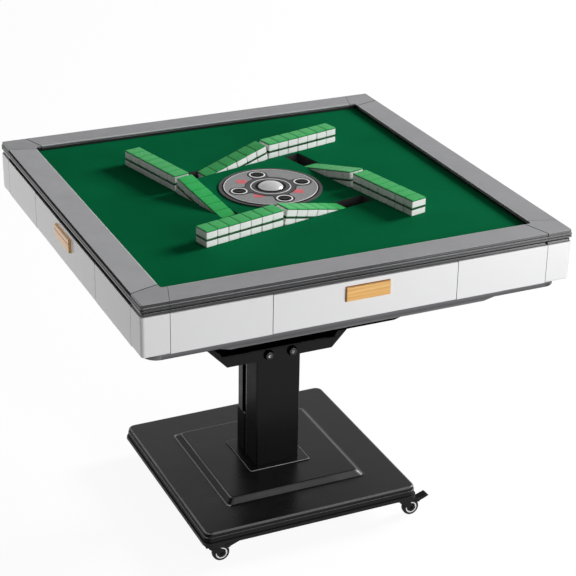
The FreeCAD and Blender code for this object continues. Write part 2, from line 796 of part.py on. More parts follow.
def make_frame():
    corner_end = f"({opening} - dim.corner_reach)"
    cap_inner = f"({corner_end} - dim.seam_gap)"
    cap_outer = f"({seam} - dim.seam_gap)"
    body = doc.addObject("PartDesign::Body", "rail_cap")
    points = (
        (f"-{cap_outer}", f"-{half}"),
        (cap_outer, f"-{half}"),
        (cap_inner, f"-{opening}"),
        (f"-{cap_inner}", f"-{opening}"),
    )
    sketch = outline(body, "rail_cap_outline", "XY_Plane", points, cap_low)
    pad(body, "rail_cap_pad", sketch, "dim.cap_thick")
    web = block("rail_web", centred(cap_inner), (f"-{seat_edge}", f"-{opening}"), (felt_top, cap_low))
    keep(four_turns("rails", fuse("rail", body, web)), "frame_rails")

    body = doc.addObject("PartDesign::Body", "corner_cap")
    points = (
        (corner_end, f"-{opening}"),
        (seam, f"-{half}"),
        (half, f"-{half}"),
        (half, f"-{seam}"),
        (opening, f"-{corner_end}"),
        (opening, f"-{opening}"),
    )
    sketch = outline(body, "corner_cap_outline", "XY_Plane", points, cap_low)
    solid = pad(body, "corner_cap_pad", sketch, "dim.cap_thick")
    outer = number(half)
    at_corner = lambda edge: rises(edge) and edge.CenterOfMass.x > outer - 1 and edge.CenterOfMass.y < 1 - outer
    round_edges(body, "corner_cap_round", solid, at_corner, "dim.trim_radius")
    tall = (felt_top, cap_low)
    web = (
        block("corner_web_front", (corner_end, seat_edge), (f"-{seat_edge}", f"-{opening}"), tall),
        block("corner_web_side", (opening, seat_edge), (f"-{seat_edge}", f"-{corner_end}"), tall),
    )
    keep(four_turns("corner_caps", fuse("corner", body, *web)), "frame_corners")


# Drawers


def make_drawers():
    front = block(
        "drawer_front",
        centred(drawer_half),
        (f"-{half}", f"-{casing_inner}"),
        (drawer_low, f"{casing_top} - dim.seam_gap"),
    )
    board_low = f"({drawer_box_low} + dim.drawer_wall)"
    tall = (board_low, f"{drawer_box_low} + dim.drawer_height")
    deep = (f"-{casing_inner}", f"-{drawer_back}")
    inner_half = f"({drawer_box_half} - dim.drawer_wall)"
    floor = block("drawer_floor", centred(drawer_box_half), deep, (drawer_box_low, board_low))
    side_board = block("drawer_side_right", (inner_half, drawer_box_half), deep, tall)
    other_side = mirrored("drawer_side_left", side_board, (1, 0, 0))
    end = (f"-({drawer_back} + dim.drawer_wall)", f"-{drawer_back}")
    end_board = block("drawer_end", centred(inner_half), end, tall)
    box = group("drawer", [front, floor, side_board, other_side, end_board])

    handle_top = f"({casing_top} - dim.handle_drop)"
    handle_low = f"({handle_top} - dim.handle_height)"
    wide = "dim.handle_width / 2"
    points = ((f"-({wide})", handle_low), (wide, handle_low), (wide, handle_top), (f"-({wide})", handle_top))
    handle = sheet_plate("handle", points, f"-{half} - dim.handle_thick", "dim.handle_thick")
    front_face = -number(half) - number("dim.handle_thick")
    on_front = lambda edge: all(abs(vertex.Y - front_face) < 1e-6 for vertex in edge.Vertexes)
    round_edges(handle, "handle_round", handle.Tip, on_front, "dim.handle_soften")
    for index, side in enumerate(sides):
        keep(turned(f"drawer_{side}", box, str(90 * index)), f"drawer_box_{side}")
        keep(turned(f"handle_{side}", handle, str(90 * index)), f"drawer_handle_{side}")

    guide_inner = f"({drawer_box_half} + dim.runner_play)"
    guide_outer_face = f"({guide_inner} + dim.runner_guide)"
    ledge_inner = f"({drawer_box_half} - dim.runner_ledge)"
    ledge_top = f"({drawer_box_low} - dim.slide_gap)"
    run = (
        f"-({pan_half} - 2 * dim.well_lip - dim.pan_sheet - dim.runner_end)",
        f"-({mouth_half} + dim.well_inner_slope + dim.pan_sheet + dim.runner_end)",
    )
    tall = (ledge_top, f"{ledge_top} + dim.runner_height")
    runner = fuse(
        "runner_right",
        block("runner_ledge_bar", (ledge_inner, guide_outer_face), run, (well_floor, ledge_top)),
        block("runner_guide_bar", (guide_inner, guide_outer_face), run, tall),
    )
    pair = group("runner_pair", [runner, mirrored("runner_left", runner, (1, 0, 0))])
    keep(four_turns("runners", pair), "drawer_runners")


# Playing surface, tile slots and ramps. Each wall is drawn along X on the front side and then turned.


def slot_box(name, margin, z):
    return block(
        name,
        (f"{slot_start} - {margin}", f"{slot_end} + {margin}"),
        (f"{row_outer} - dim.slot_play - {margin}", f"{row_inner} + dim.slot_play + {margin}"),
        z,
    )


def make_surface():
    reach = centred(seat_edge)
    board = block("board_blank", reach, reach, (casing_top, board_top))
    slot = slot_box("board_slot", "dim.chute_wall", (casing_top, board_top))
    board_slots = four_turns("board_slots", slot, "dim.wall_angle")
    board_hole = post("board_hole", hole_radius, (casing_top, board_top))
    keep(cut("board", board, board_slots, board_hole), "play_board")

    cloth = block("felt_blank", reach, reach, (board_top, felt_top))
    felt_slots = four_turns("felt_slots", slot_box("felt_slot", "0", (board_top, felt_top)), "dim.wall_angle")
    felt_hole = post("felt_hole", hole_radius, (board_top, felt_top))
    keep(cut("cloth", cloth, felt_slots, felt_hole), "felt")

    tall = (f"{board_top} - dim.chute_depth", board_top)
    outer = slot_box("chute_outer", "dim.chute_wall", tall)
    liner = cut("chute_liner", outer, slot_box("chute_inner", "0", tall))
    across = (f"{row_outer} - dim.slot_play", f"{row_inner} + dim.slot_play")
    pin = cross_pin("chute_pin", "dim.hinge_pin", hinge_along, across, hinge_level)
    keep(four_turns("chutes", fuse("chute", liner, pin), "dim.wall_angle"), "tile_chutes")


def tile_stacks(name, start, count):
    # Rows of stacked pairs, standing level on the felt, with chamfered edges.
    length = number("dim.tile_length")
    thick = number("dim.tile_thick")
    tile = Part.makeBox(number("dim.tile_width"), length, thick)
    tile = tile.makeChamfer(number("dim.tile_chamfer"), tile.Edges)
    tiles = []
    for stack in range(count):
        for layer in range(2):
            copy = tile.copy()
            along = start + stack * number("dim.tile_pitch")
            copy.translate(FreeCAD.Vector(along, number(row_outer), number(felt_top) + layer * thick))
            tiles.append(copy)
    piece = doc.addObject("Part::Feature", name)
    piece.Shape = Part.makeCompound(tiles)
    return piece


def make_tiles_and_ramps():
    flat_row = tile_stacks("flat_row", -number("dim.wall_start"), int(number("dim.flat_stacks")))
    keep(four_turns("walls", flat_row, "dim.wall_angle"), "tile_walls")

    ramp_start = f"({slot_start} + dim.ramp_start_gap)"
    ramp_row = tile_stacks("ramp_row", number(ramp_start), int(number("dim.ramp_stacks")))
    margin = "dim.slot_play / 2"
    across = (f"{row_outer} - {margin}", f"{row_inner} + {margin}")
    plate = block(
        "ramp_plate",
        (ramp_start, f"{slot_end} - dim.ramp_end_gap"),
        across,
        (f"{felt_top} - dim.ramp_thick", felt_top),
    )
    barrel = cross_pin("ramp_barrel", "dim.barrel_radius", hinge_along, across, hinge_level)
    bore = cross_pin("ramp_bore", "dim.hinge_pin + dim.running_gap", hinge_along, across, hinge_level)
    ramp = cut("ramp", fuse("ramp_solid", plate, barrel), bore)
    hinge = f"vector({hinge_along}; 0; {hinge_level})"
    tilt = f"placement(vector(0; 0; 0); rotation(vector(0; 1; 0); dim.ramp_angle); {hinge})"
    for index, side in enumerate(sides):
        turn = f"placement(vector(0; 0; 0); rotation(vector(0; 0; 1); dim.wall_angle + {90 * index}))"
        for piece, label in ((ramp, "tile_ramp"), (ramp_row, "ramp_tiles")):
            lowered = group(f"{label}_{side}_lowered", [piece])
            lowered.setExpression("Placement", f"{turn} * {tilt}")
            keep(lowered, f"{label}_{side}")


# Centre disc with its buttons and dome


def around(radius, index):
    x = ("0 * ", "", "0 * ", "-")[index] + radius
    y = ("-", "0 * ", "", "0 * ")[index] + radius
    return x, y


def make_disc():
    rim = post("disc_rim_plate", "dim.disc_radius", (disc_low, disc_top))
    plug = post("disc_plug_plate", "dim.disc_plug", (plug_low, disc_low))
    stem = post("disc_stem", "dim.post_radius_lift", (f"{plug_low} - dim.post_length", plug_low))
    button_top = f"({face_top} + dim.button_rise)"
    button_low = f"({button_top} - dim.button_length)"
    well_bottom = f"({button_low} - dim.button_travel - dim.button_gap)"
    play = "dim.button_radius + dim.button_gap"
    wells = []
    face_holes = [post("face_dome_hole", "dim.dome_radius", (disc_top, face_top))]
    for index, side in enumerate(sides):
        x, y = around("dim.button_circle", index)
        wells.append(post(f"disc_well_{side}", play, (well_bottom, disc_top), x, y))
        face_holes.append(post(f"face_hole_{side}", play, (disc_top, face_top), x, y))
        button = post(f"button_{side}", "dim.button_radius", (button_low, button_top), x, y)
        keep(button, f"disc_button_{side}")
    keep(cut("disc", fuse("disc_solid", rim, plug, stem), *wells), "disc_housing")
    face = post("face_plate", "dim.face_radius", (disc_top, face_top))
    keep(cut("face", face, *face_holes), "disc_face")

    dome = doc.addObject("Part::Sphere", "dome")
    ball = "((dim.dome_radius ^ 2 + dim.dome_height ^ 2) / (2 * dim.dome_height))"
    dome.setExpression("Radius", ball)
    dome.setExpression("Angle1", f"asin(1 - dim.dome_height / {ball})")
    dome.setExpression("Placement.Base.z", f"{disc_top} + dim.dome_height - {ball}")
    keep(dome, "dice_dome")


# Mechanism inside the hopper


def make_mechanism():
    guide_top = f"({hopper_floor_top} + dim.guide_height)"
    collar = f"{guide_outer} + dim.collar_width"
    guide = fuse(
        "guide_solid",
        post("guide_tube", guide_outer, (hopper_floor_top, guide_top)),
        post("guide_collar", collar, (hopper_floor_top, f"{hopper_floor_top} + dim.collar_height")),
    )
    stem_radius = "dim.post_radius_lift + dim.running_gap"
    keep(cut("guide", guide, post("guide_bore", stem_radius, (hopper_floor_top, guide_top))), "lift_guide")

    drum_bore = f"({guide_outer} + dim.running_gap)"
    plate_top = f"({drum_low} + dim.drum_sheet)"
    rim_top = f"({plate_top} + dim.drum_rim)"
    drum = fuse(
        "drum_solid",
        cut(
            "drum_bowl",
            post("drum_outside", "dim.drum_radius", (drum_low, rim_top)),
            post("drum_inside", "dim.drum_radius - dim.drum_sheet", (plate_top, rim_top)),
        ),
        post("drum_hub_ring", f"{drum_bore} + dim.drum_hub", (drum_low, f"{drum_low} + dim.drum_hub_height")),
    )
    keep(cut("drum", drum, post("drum_bore", drum_bore, (drum_low, rim_top))), "mixing_drum")

    diagonal = f"({roller_circle} / sqrt(2))"
    motor_top = f"({hopper_floor_top} + dim.motor_height)"
    roller_low = f"({motor_top} + dim.slide_gap)"
    roller_top = f"({roller_low} + dim.roller_height)"
    motor = fuse(
        "motor_solid",
        post("motor_case", "dim.motor_radius", (hopper_floor_top, motor_top), diagonal, diagonal),
        post("motor_spindle", "dim.motor_shaft", (motor_top, roller_top), diagonal, diagonal),
    )
    keep(motor, "drum_motor")
    roller = post("roller_disc", "dim.roller_radius", (roller_low, roller_top), diagonal, diagonal)
    tall = (roller_low, roller_top)
    spindle = post("roller_bore", "dim.motor_shaft + dim.running_gap", tall, diagonal, diagonal)
    keep(cut("roller", roller, spindle), "drive_roller")

    far = f"({floor_half} - dim.pan_sheet - dim.control_gap)"
    near = f"({far} - dim.control_size)"
    tall = (hopper_floor_top, f"{hopper_floor_top} + dim.control_height")
    box = block("control", (f"-{far}", f"-{near}"), (near, far), tall)
    keep(box, "control_box")
    inlet = block(
        "inlet",
        (f"{floor_half} / 2", f"{floor_half} / 2 + dim.inlet_width"),
        (f"{floor_half} / 2", f"{floor_half} / 2 + dim.inlet_depth"),
        (f"{hopper_low} - dim.inlet_height", hopper_low),
    )
    keep(inlet, "mains_inlet")


make_base()
make_column()
make_yoke()
make_castors()
make_pan()
make_casing()
make_trim()
make_frame()
make_drawers()
make_surface()
make_tiles_and_ramps()
make_disc()
make_mechanism()
doc.recompute()

for thing in doc.Objects:
    if "Invalid" in thing.State or "Error" in thing.State:
        raise RuntimeError(f"{thing.Name} failed: {thing.State}")
for node in nodes:
    if node.Shape.isNull() or not node.Shape.isValid():
        raise RuntimeError(f"{node.Label} has no valid shape")

os.makedirs("parts", exist_ok=True)
for node in nodes:
    node.Shape.exportStep(f"parts/{node.Label}.step")
    print(node.Label, len(node.Shape.Solids), round(node.Shape.Volume / 1000, 1))
print(len(nodes), "nodes")
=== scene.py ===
import json
from math import cos, pi, radians, sin, sqrt
from random import Random

import bmesh
import bpy
from mathutils import Euler, Matrix, Vector


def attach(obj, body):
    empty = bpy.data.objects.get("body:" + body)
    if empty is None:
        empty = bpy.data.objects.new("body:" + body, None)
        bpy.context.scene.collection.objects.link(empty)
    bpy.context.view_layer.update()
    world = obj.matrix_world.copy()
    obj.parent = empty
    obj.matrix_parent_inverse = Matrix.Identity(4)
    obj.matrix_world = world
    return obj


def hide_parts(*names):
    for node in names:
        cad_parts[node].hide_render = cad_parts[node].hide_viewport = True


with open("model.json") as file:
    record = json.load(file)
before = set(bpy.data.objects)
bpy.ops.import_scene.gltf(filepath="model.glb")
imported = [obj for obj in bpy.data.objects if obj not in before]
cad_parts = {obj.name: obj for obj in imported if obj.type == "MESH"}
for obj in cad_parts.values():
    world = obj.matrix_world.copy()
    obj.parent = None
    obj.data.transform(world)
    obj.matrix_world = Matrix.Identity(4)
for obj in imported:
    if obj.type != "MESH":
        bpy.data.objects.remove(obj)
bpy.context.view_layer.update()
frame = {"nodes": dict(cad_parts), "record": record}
cadNodes = frame["nodes"]
record = frame["record"]
nodeSlots = {part["node"]: part["material_slot"] for part in record["subparts"]}
nodeBodies = {node: body for body, nodes in record["behaviour"]["bodies"].items() for node in nodes}
sides = ("front", "right", "back", "left")
corners = {"front_left": (-1, -1), "front_right": (1, -1), "back_right": (1, 1), "back_left": (-1, 1)}
near = 0.1  # millimetres, how close counts as on a face
print("frame loaded,", len(cadNodes), "nodes")


# modelling tools, all sizes in millimetres

def metres(values):
    return [value / 1000 for value in values]


def both(half):
    return (-half, half)


def clearSelection():
    if bpy.context.object and bpy.context.object.mode != "OBJECT":
        bpy.ops.object.mode_set(mode="OBJECT")
    bpy.ops.object.select_all(action="DESELECT")


def pick(obj):
    clearSelection()
    obj.select_set(True)
    bpy.context.view_layer.objects.active = obj


def discard(*objs):
    for obj in objs:
        bpy.data.objects.remove(obj)


def settle(name, size=(1, 1, 1)):  # name a new primitive and apply its place
    obj = bpy.context.object
    obj.name = obj.data.name = name
    obj.scale = size
    bpy.ops.object.transform_apply(location=True, rotation=True, scale=True)
    return obj


def addBlock(name, x, y, z):
    clearSelection()
    middle = [(low + high) / 2000 for low, high in (x, y, z)]
    bpy.ops.mesh.primitive_cube_add(size=1, location=middle)
    return settle(name, [(high - low) / 1000 for low, high in (x, y, z)])


def addRound(name, radius, z, steps, place=(0, 0)):
    clearSelection()
    middle = metres((*place, (z[0] + z[1]) / 2))
    bpy.ops.mesh.primitive_cylinder_add(
        vertices=steps, radius=radius / 1000, depth=(z[1] - z[0]) / 1000, location=middle)
    return settle(name)


def addLoop(name, points, filled):  # a circle whose points are then put where they belong
    clearSelection()
    bpy.ops.mesh.primitive_circle_add(vertices=len(points), radius=1, fill_type="NGON" if filled else "NOTHING")
    obj = settle(name)
    for vertex, point in zip(obj.data.vertices, points):
        vertex.co = Vector(point) / 1000
    return obj


def openEdit(obj, kind, test):
    pick(obj)
    bpy.ops.object.mode_set(mode="EDIT")
    bpy.ops.mesh.select_mode(type=kind)
    bpy.ops.mesh.select_all(action="DESELECT")
    shape = bmesh.from_edit_mesh(obj.data)
    shape.normal_update()
    for item in {"VERT": shape.verts, "EDGE": shape.edges, "FACE": shape.faces}[kind]:
        if test(item):
            item.select_set(True)
    bmesh.update_edit_mesh(obj.data)


def closeEdit():
    bpy.ops.object.mode_set(mode="OBJECT")


# tests that pick corners, edges and faces

def everything(item):
    return True


def middleOf(edge):
    return (edge.verts[0].co + edge.verts[1].co) * 500


def upright(edge):
    run = edge.verts[0].co - edge.verts[1].co
    return abs(run.z) > 0.98 * run.length


def lying(edge):
    return not upright(edge)


def isTop(edge, level):
    return all(abs(vertex.co.z * 1000 - level) < 0.01 for vertex in edge.verts)


def outerCorner(far):
    return lambda e: upright(e) and middleOf(e).x > far - 1 and middleOf(e).y < 1 - far


# edits

def edit(obj, kind, test, operator, **settings):  # one operator on what the test selects
    openEdit(obj, kind, test)
    operator(**settings)
    closeEdit()


def bevelEdges(obj, width, segments, test=everything):
    edit(obj, "EDGE", test, bpy.ops.mesh.bevel, offset=width / 1000, segments=segments, affect="EDGES",
         clamp_overlap=True)


def extrudeFaces(obj, test, move):
    edit(obj, "FACE", test, bpy.ops.mesh.extrude_region_move, TRANSFORM_OT_translate={"value": metres(move)})


def moveCorners(obj, test, move):
    edit(obj, "VERT", test, bpy.ops.transform.translate, value=metres(move))


def splitAt(obj, place, normal, **settings):
    edit(obj, "FACE", everything, bpy.ops.mesh.bisect, plane_co=metres(place), plane_no=normal, **settings)


def tidyMesh(obj):  # merge doubles, then point the faces outwards
    openEdit(obj, "VERT", everything)
    bpy.ops.mesh.remove_doubles(threshold=0.00001)
    bpy.ops.mesh.select_all(action="SELECT")
    bpy.ops.mesh.normals_make_consistent(inside=False)
    closeEdit()


def addPlate(name, outline, z):
    obj = addLoop(name, [(x, y, z[0]) for x, y in outline], True)
    extrudeFaces(obj, everything, (0, 0, z[1] - z[0]))
    tidyMesh(obj)
    return obj


def addSpun(name, profile, steps=48):  # profile of radius and height, spun round Z
    obj = addLoop(name, [(radius, 0, height) for radius, height in profile], False)
    edit(obj, "EDGE", everything, bpy.ops.mesh.spin, steps=steps, angle=2 * pi, center=(0, 0, 0), axis=(0, 0, 1))
    tidyMesh(obj)
    return obj


def applyModifier(obj, kind, **settings):
    pick(obj)
    modifier = obj.modifiers.new(kind.lower(), kind)
    for key, value in settings.items():
        setattr(modifier, key, value)
    bpy.ops.object.modifier_apply(modifier=modifier.name)


def easeEdges(obj, width):
    applyModifier(obj, "BEVEL", width=width / 1000, segments=2, limit_method="ANGLE", angle_limit=radians(40),
                  miter_outer="MITER_ARC")


def cutAway(obj, *cutters):
    for cutter in cutters:
        applyModifier(obj, "BOOLEAN", operation="DIFFERENCE", object=cutter, solver="EXACT")
        discard(cutter)
    return obj


def turned(degrees, axis):
    return Matrix.Rotation(radians(degrees), 4, axis)


def quarter(index, extra=0):
    return turned(90 * index + extra, "Z")


def shift(x=0, y=0, z=0):
    return Matrix.Translation(metres((x, y, z)))


def placed(obj, matrix):
    obj.data.transform(matrix)
    obj.data.update()
    return obj


def copyOf(obj, name, matrix=Matrix.Identity(4)):
    copy = obj.copy()
    copy.data = obj.data.copy()
    copy.name = copy.data.name = name
    bpy.context.collection.objects.link(copy)
    return placed(copy, matrix)


def fourAround(piece):  # a piece and its copies on the other sides
    return [piece] + [copyOf(piece, f"{piece.name}_{index}", quarter(index)) for index in (1, 2, 3)]


def joined(name, *objs):
    pick(objs[0])
    for obj in objs:
        obj.select_set(True)
    bpy.ops.object.join()
    objs[0].name = objs[0].data.name = name
    return objs[0]


def paint(obj, finish, test=None):  # all faces, or those that the test picks by place p and normal n
    material = finishes[finish]
    names = [slot.name for slot in obj.data.materials]
    if material.name not in names:
        obj.data.materials.append(material)
        names.append(material.name)
    index = names.index(material.name)
    for face in obj.data.polygons:
        if test is None or test(face.center * 1000, face.normal):
            face.material_index = index
    return obj


def hand(obj, body, slotName, *replaced, angle=35):  # the piece rides on a body and may stand for a CAD node
    pick(obj)
    bpy.ops.object.shade_smooth_by_angle(angle=radians(angle))
    applyModifier(obj, "WEIGHTED_NORMAL", keep_sharp=True)  # large flat faces stay flat beside their rounded edges
    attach(obj, body)
    if replaced:
        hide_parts(*replaced)
    clearSelection()
    return obj


def stand(obj, node, angle=35):  # the piece stands for a node, on its body
    return hand(obj, nodeBodies[node], nodeSlots[node], node, angle=angle)


def standFour(name, piece, node):
    return stand(joined(name, *fourAround(piece)), node)


# finishes

def tint(colour):
    steps = [value / 255 for value in colour]
    return tuple(((step + 0.055) / 1.055) ** 2.4 if step > 0.04 else step / 12.92 for step in steps) + (1,)


def feed(tree, socket, value):  # a socket is linked, a number or colour is set
    if isinstance(value, bpy.types.NodeSocket):
        tree.links.new(value, socket)
    else:
        socket.default_value = value


def addNode(tree, kind, inputs, **values):
    node = tree.nodes.new(kind)
    for key, value in values.items():
        setattr(node, key, value)
    for socket, value in inputs.items():
        feed(tree, node.inputs[socket], value)
    return node


class Sheet:  # short hand for one material's nodes
    def __init__(self, name):
        self.material = bpy.data.materials.new(name)
        self.material.use_nodes = True
        self.tree = self.material.node_tree
        self.shader = self.tree.nodes["Principled BSDF"]
        self.where = self.tree.nodes.new("ShaderNodeTexCoord").outputs["Object"]

    def add(self, kind, inputs, out, **values):
        return addNode(self.tree, kind, inputs, **values).outputs[out]

    def stretched(self, scale):
        return self.add("ShaderNodeMapping", {"Scale": scale, "Vector": self.where}, "Vector")

    def noise(self, scale, detail=3, vector=None, distortion=0):
        inputs = {"Scale": scale, "Detail": detail, "Distortion": distortion, "Vector": vector or self.where}
        return self.add("ShaderNodeTexNoise", inputs, "Fac")

    def spread(self, value, outLow, outHigh, low=0.3, high=0.7):
        return self.add("ShaderNodeMapRange", {0: value, 1: low, 2: high, 3: outLow, 4: outHigh}, 0)

    def blend(self, factor, first, second):
        return self.add("ShaderNodeMix", {0: factor, 6: first, 7: second}, 2, data_type="RGBA")

    def bump(self, height, strength, depth, under=None):
        inputs = {"Strength": strength, "Distance": depth / 1000, "Height": height}
        if under:
            inputs["Normal"] = under
        return self.add("ShaderNodeBump", inputs, "Normal")

    def give(self, **values):  # by the short names below
        for key, value in values.items():
            feed(self.tree, self.shader.inputs[shaderSockets[key]], value)


shaderSockets = {
    "colour": "Base Color", "rough": "Roughness", "normal": "Normal", "specular": "Specular IOR Level",
    "metal": "Metallic", "coat": "Coat Weight", "coatRough": "Coat Roughness", "sheen": "Sheen Weight",
    "sheenRough": "Sheen Roughness", "sheenTint": "Sheen Tint",
}


# paint, powder coat, moulded plastic, metal: colour drift, grain and uneven gloss
def makeCoat(name, colour, drift, driftScale, rough, glossScale, grainScale, grain, grainDepth, specular,
             wave=0.02, waveScale=6, **others):
    sheet = Sheet(name)
    share = sheet.spread(sheet.noise(driftScale, 4), 0, 1)
    fine = sheet.bump(sheet.noise(grainScale, 2), grain, grainDepth)
    other = drift if isinstance(drift, tuple) else [value + drift for value in colour]
    sheet.give(colour=sheet.blend(share, tint(colour), tint(other)),
               rough=sheet.spread(sheet.noise(glossScale), *rough),
               normal=sheet.bump(sheet.noise(waveScale, 1), wave, 1.0, fine), specular=specular, **others)
    return sheet.material


# colour, drift to another colour or by so many steps, driftScale, rough, glossScale, grainScale, grain, grainDepth,
# specular
coats = {
    "railGrey": ((138, 138, 140), -6, 9, (0.46, 0.58), 40, 1600, 0.25, 0.08, 0.35),
    "railPale": ((154, 154, 156), -6, 9, (0.46, 0.58), 40, 1600, 0.25, 0.08, 0.35),
    "railEdge": ((156, 156, 158), -6, 9, (0.4, 0.5), 40, 1600, 0.2, 0.06, 0.4),
    "trimBlack": ((42, 42, 44), -4, 14, (0.13, 0.19), 30, 1400, 0.08, 0.03, 0.5),
    "bandBlack": ((34, 34, 36), -4, 14, (0.1, 0.15), 30, 1400, 0.06, 0.03, 0.65),
    "lipLight": ((122, 123, 125), -10, 14, (0.26, 0.36), 30, 1400, 0.12, 0.05, 0.45),
    "railLine": ((190, 191, 192), -8, 14, (0.34, 0.44), 30, 1400, 0.12, 0.05, 0.35),
    "edgeGrey": ((136, 136, 138), -12, 25, (0.4, 0.5), 60, 1400, 0.12, 0.05, 0.3),
    "edgeFaint": ((86, 86, 88), -10, 25, (0.4, 0.5), 60, 1400, 0.12, 0.05, 0.2),
    "hopperBlack": ((24, 24, 25), -5, 7, (0.4, 0.5), 26, 1300, 0.2, 0.08, 0.15),
    "slopeBlack": ((56, 55, 56), -6, 9, (0.3, 0.4), 26, 1300, 0.12, 0.05, 0.3),
    "edgeDim": ((86, 86, 88), -12, 25, (0.24, 0.34), 60, 1400, 0.12, 0.05, 0.5),
    "casingWhite": ((238, 238, 239), -2, 5, (0.24, 0.27), 24, 900, 0.05, 0.05, 0.45),
    "trayWhite": ((214, 214, 212), -8, 12, (0.45, 0.6), 40, 1100, 0.2, 0.08, 0.5),
    "panGrey": ((116, 116, 118), -6, 6, (0.4, 0.55), 30, 1500, 0.3, 0.1, 0.4),
    "powderBlack": ((10, 9, 9), (8, 8, 8), 7, (0.26, 0.34), 26, 1300, 0.12, 0.05, 0.17),
    "sideBlack": ((24, 23, 23), -4, 7, (0.36, 0.44), 26, 1300, 0.2, 0.08, 0.03),
    "cavityBlack": ((5, 5, 5), -2, 7, (0.6, 0.75), 26, 1300, 0.2, 0.08, 0.0),
    "castBlack": ((18, 18, 18), -4, 20, (0.4, 0.55), 40, 700, 0.3, 0.1, 0.16),
    "tubeGrey": ((96, 96, 98), -6, 10, (0.36, 0.48), 30, 1200, 0.2, 0.08, 0.06),
    "boltBlack": ((12, 12, 13), -3, 90, (0.22, 0.36), 200, 2400, 0.2, 0.04, 0.5),
    "zincSteel": ((176, 178, 182), (150, 152, 158), 120, (0.25, 0.42), 160, 1800, 0.2, 0.04, 0.5),
    "chromeRing": ((222, 223, 225), (200, 201, 204), 150, (0.12, 0.24), 220, 2200, 0.1, 0.03, 0.5),
    "tyreBlack": ((14, 14, 14), 6, 160, (0.5, 0.7), 220, 1800, 0.4, 0.08, 0.2),
    "forkBlack": ((13, 13, 14), -3, 80, (0.26, 0.4), 140, 1900, 0.2, 0.05, 0.16),
    "chuteDark": ((34, 35, 35), -7, 30, (0.45, 0.6), 60, 1500, 0.3, 0.08, 0.5),
    "rampGrey": ((96, 97, 98), -12, 40, (0.4, 0.55), 60, 1500, 0.3, 0.08, 0.5),
    "tileWhite": ((247, 247, 246), (242, 242, 240), 60, (0.24, 0.36), 140, 1400, 0.05, 0.03, 0.4),
    "tileEdge": ((8, 66, 38), (6, 58, 32), 45, (0.26, 0.38), 140, 1400, 0.08, 0.04, 0.4),
    "tileGreen": ((44, 166, 84), (38, 156, 76), 45, (0.26, 0.38), 140, 1400, 0.05, 0.03, 0.1),
    "discDark": ((72, 71, 73), -8, 50, (0.35, 0.5), 90, 1600, 0.2, 0.06, 0.08),
    "discBlack": ((20, 20, 21), -4, 60, (0.35, 0.5), 90, 1600, 0.2, 0.06, 0.02),
    "discSilver": ((119, 118, 120), -9, 30, (0.3, 0.42), 200, 900, 0.15, 0.04, 0.5),
    "discLine": ((232, 232, 230), -12, 80, (0.35, 0.45), 120, 1500, 0.1, 0.03, 0.5),
    "discRed": ((206, 74, 84), (190, 62, 72), 120, (0.35, 0.5), 160, 1500, 0.15, 0.03, 0.5),
    "domeSilver": ((188, 188, 187), -12, 60, (0.16, 0.26), 120, 1200, 0.06, 0.03, 0.5),
    "guideAlloy": ((150, 152, 156), -18, 60, (0.3, 0.5), 100, 1400, 0.2, 0.05, 0.5),
    "motorGrey": ((70, 72, 76), -12, 60, (0.4, 0.55), 90, 1500, 0.3, 0.06, 0.5),
    "rollerRubber": ((30, 29, 28), 8, 120, (0.6, 0.75), 160, 1800, 0.5, 0.1, 0.5),
    "boxPlastic": ((60, 66, 62), -8, 60, (0.45, 0.6), 90, 1500, 0.3, 0.06, 0.5),
    "inletBlack": ((28, 28, 28), -6, 90, (0.35, 0.5), 120, 1600, 0.3, 0.06, 0.5),
    "buttonBlack": ((13, 13, 14), -3, 120, (0.3, 0.42), 160, 1800, 0.15, 0.04, 0.04),
    "tileJoint": ((44, 50, 46), -8, 60, (0.5, 0.6), 140, 1400, 0.1, 0.03, 0.1),
}
coatExtras = {
    "edgeDim": {"metal": 0.8},
    "casingWhite": {"coat": 0.1, "coatRough": 0.1, "wave": 0.004, "waveScale": 9},
    "zincSteel": {"metal": 1.0},
    "chromeRing": {"metal": 0.9},
    "discSilver": {"metal": 0.1},
    "domeSilver": {"metal": 0.55, "coat": 0.5, "coatRough": 0.06},
    "guideAlloy": {"metal": 1.0},
    "motorGrey": {"metal": 0.6},
}
finishes = {name: makeCoat(name, *look, **coatExtras.get(name, {})) for name, look in coats.items()}

cloth = {"colour": (4, 92, 55), "shade": (2, 82, 48), "nap": (10, 108, 66), "sheen": (10, 130, 80),
         "fibre": 1500, "clump": 190, "broad": 5, "bump": 0.5, "depth": 0.25, "clumpBump": 0.15, "clumpDepth": 0.3}


def makeFelt():
    sheet = Sheet("feltGreen")
    fibre = sheet.noise(cloth["fibre"], 4, distortion=0.6)
    clump = sheet.noise(cloth["clump"])
    broad = sheet.spread(sheet.noise(cloth["broad"]), 0, 1)
    ground = sheet.blend(broad, tint(cloth["colour"]), tint(cloth["shade"]))
    raised = sheet.spread(fibre, 0, 0.5, 0.45, 0.75)
    pile = sheet.bump(fibre, cloth["bump"], cloth["depth"])
    sheet.give(colour=sheet.blend(raised, ground, tint(cloth["nap"])), rough=sheet.spread(clump, 0.88, 0.98),
               normal=sheet.bump(clump, cloth["clumpBump"], cloth["clumpDepth"], pile),
               specular=0.01, sheen=0.04, sheenRough=0.6, sheenTint=tint(cloth["sheen"]))
    return sheet.material


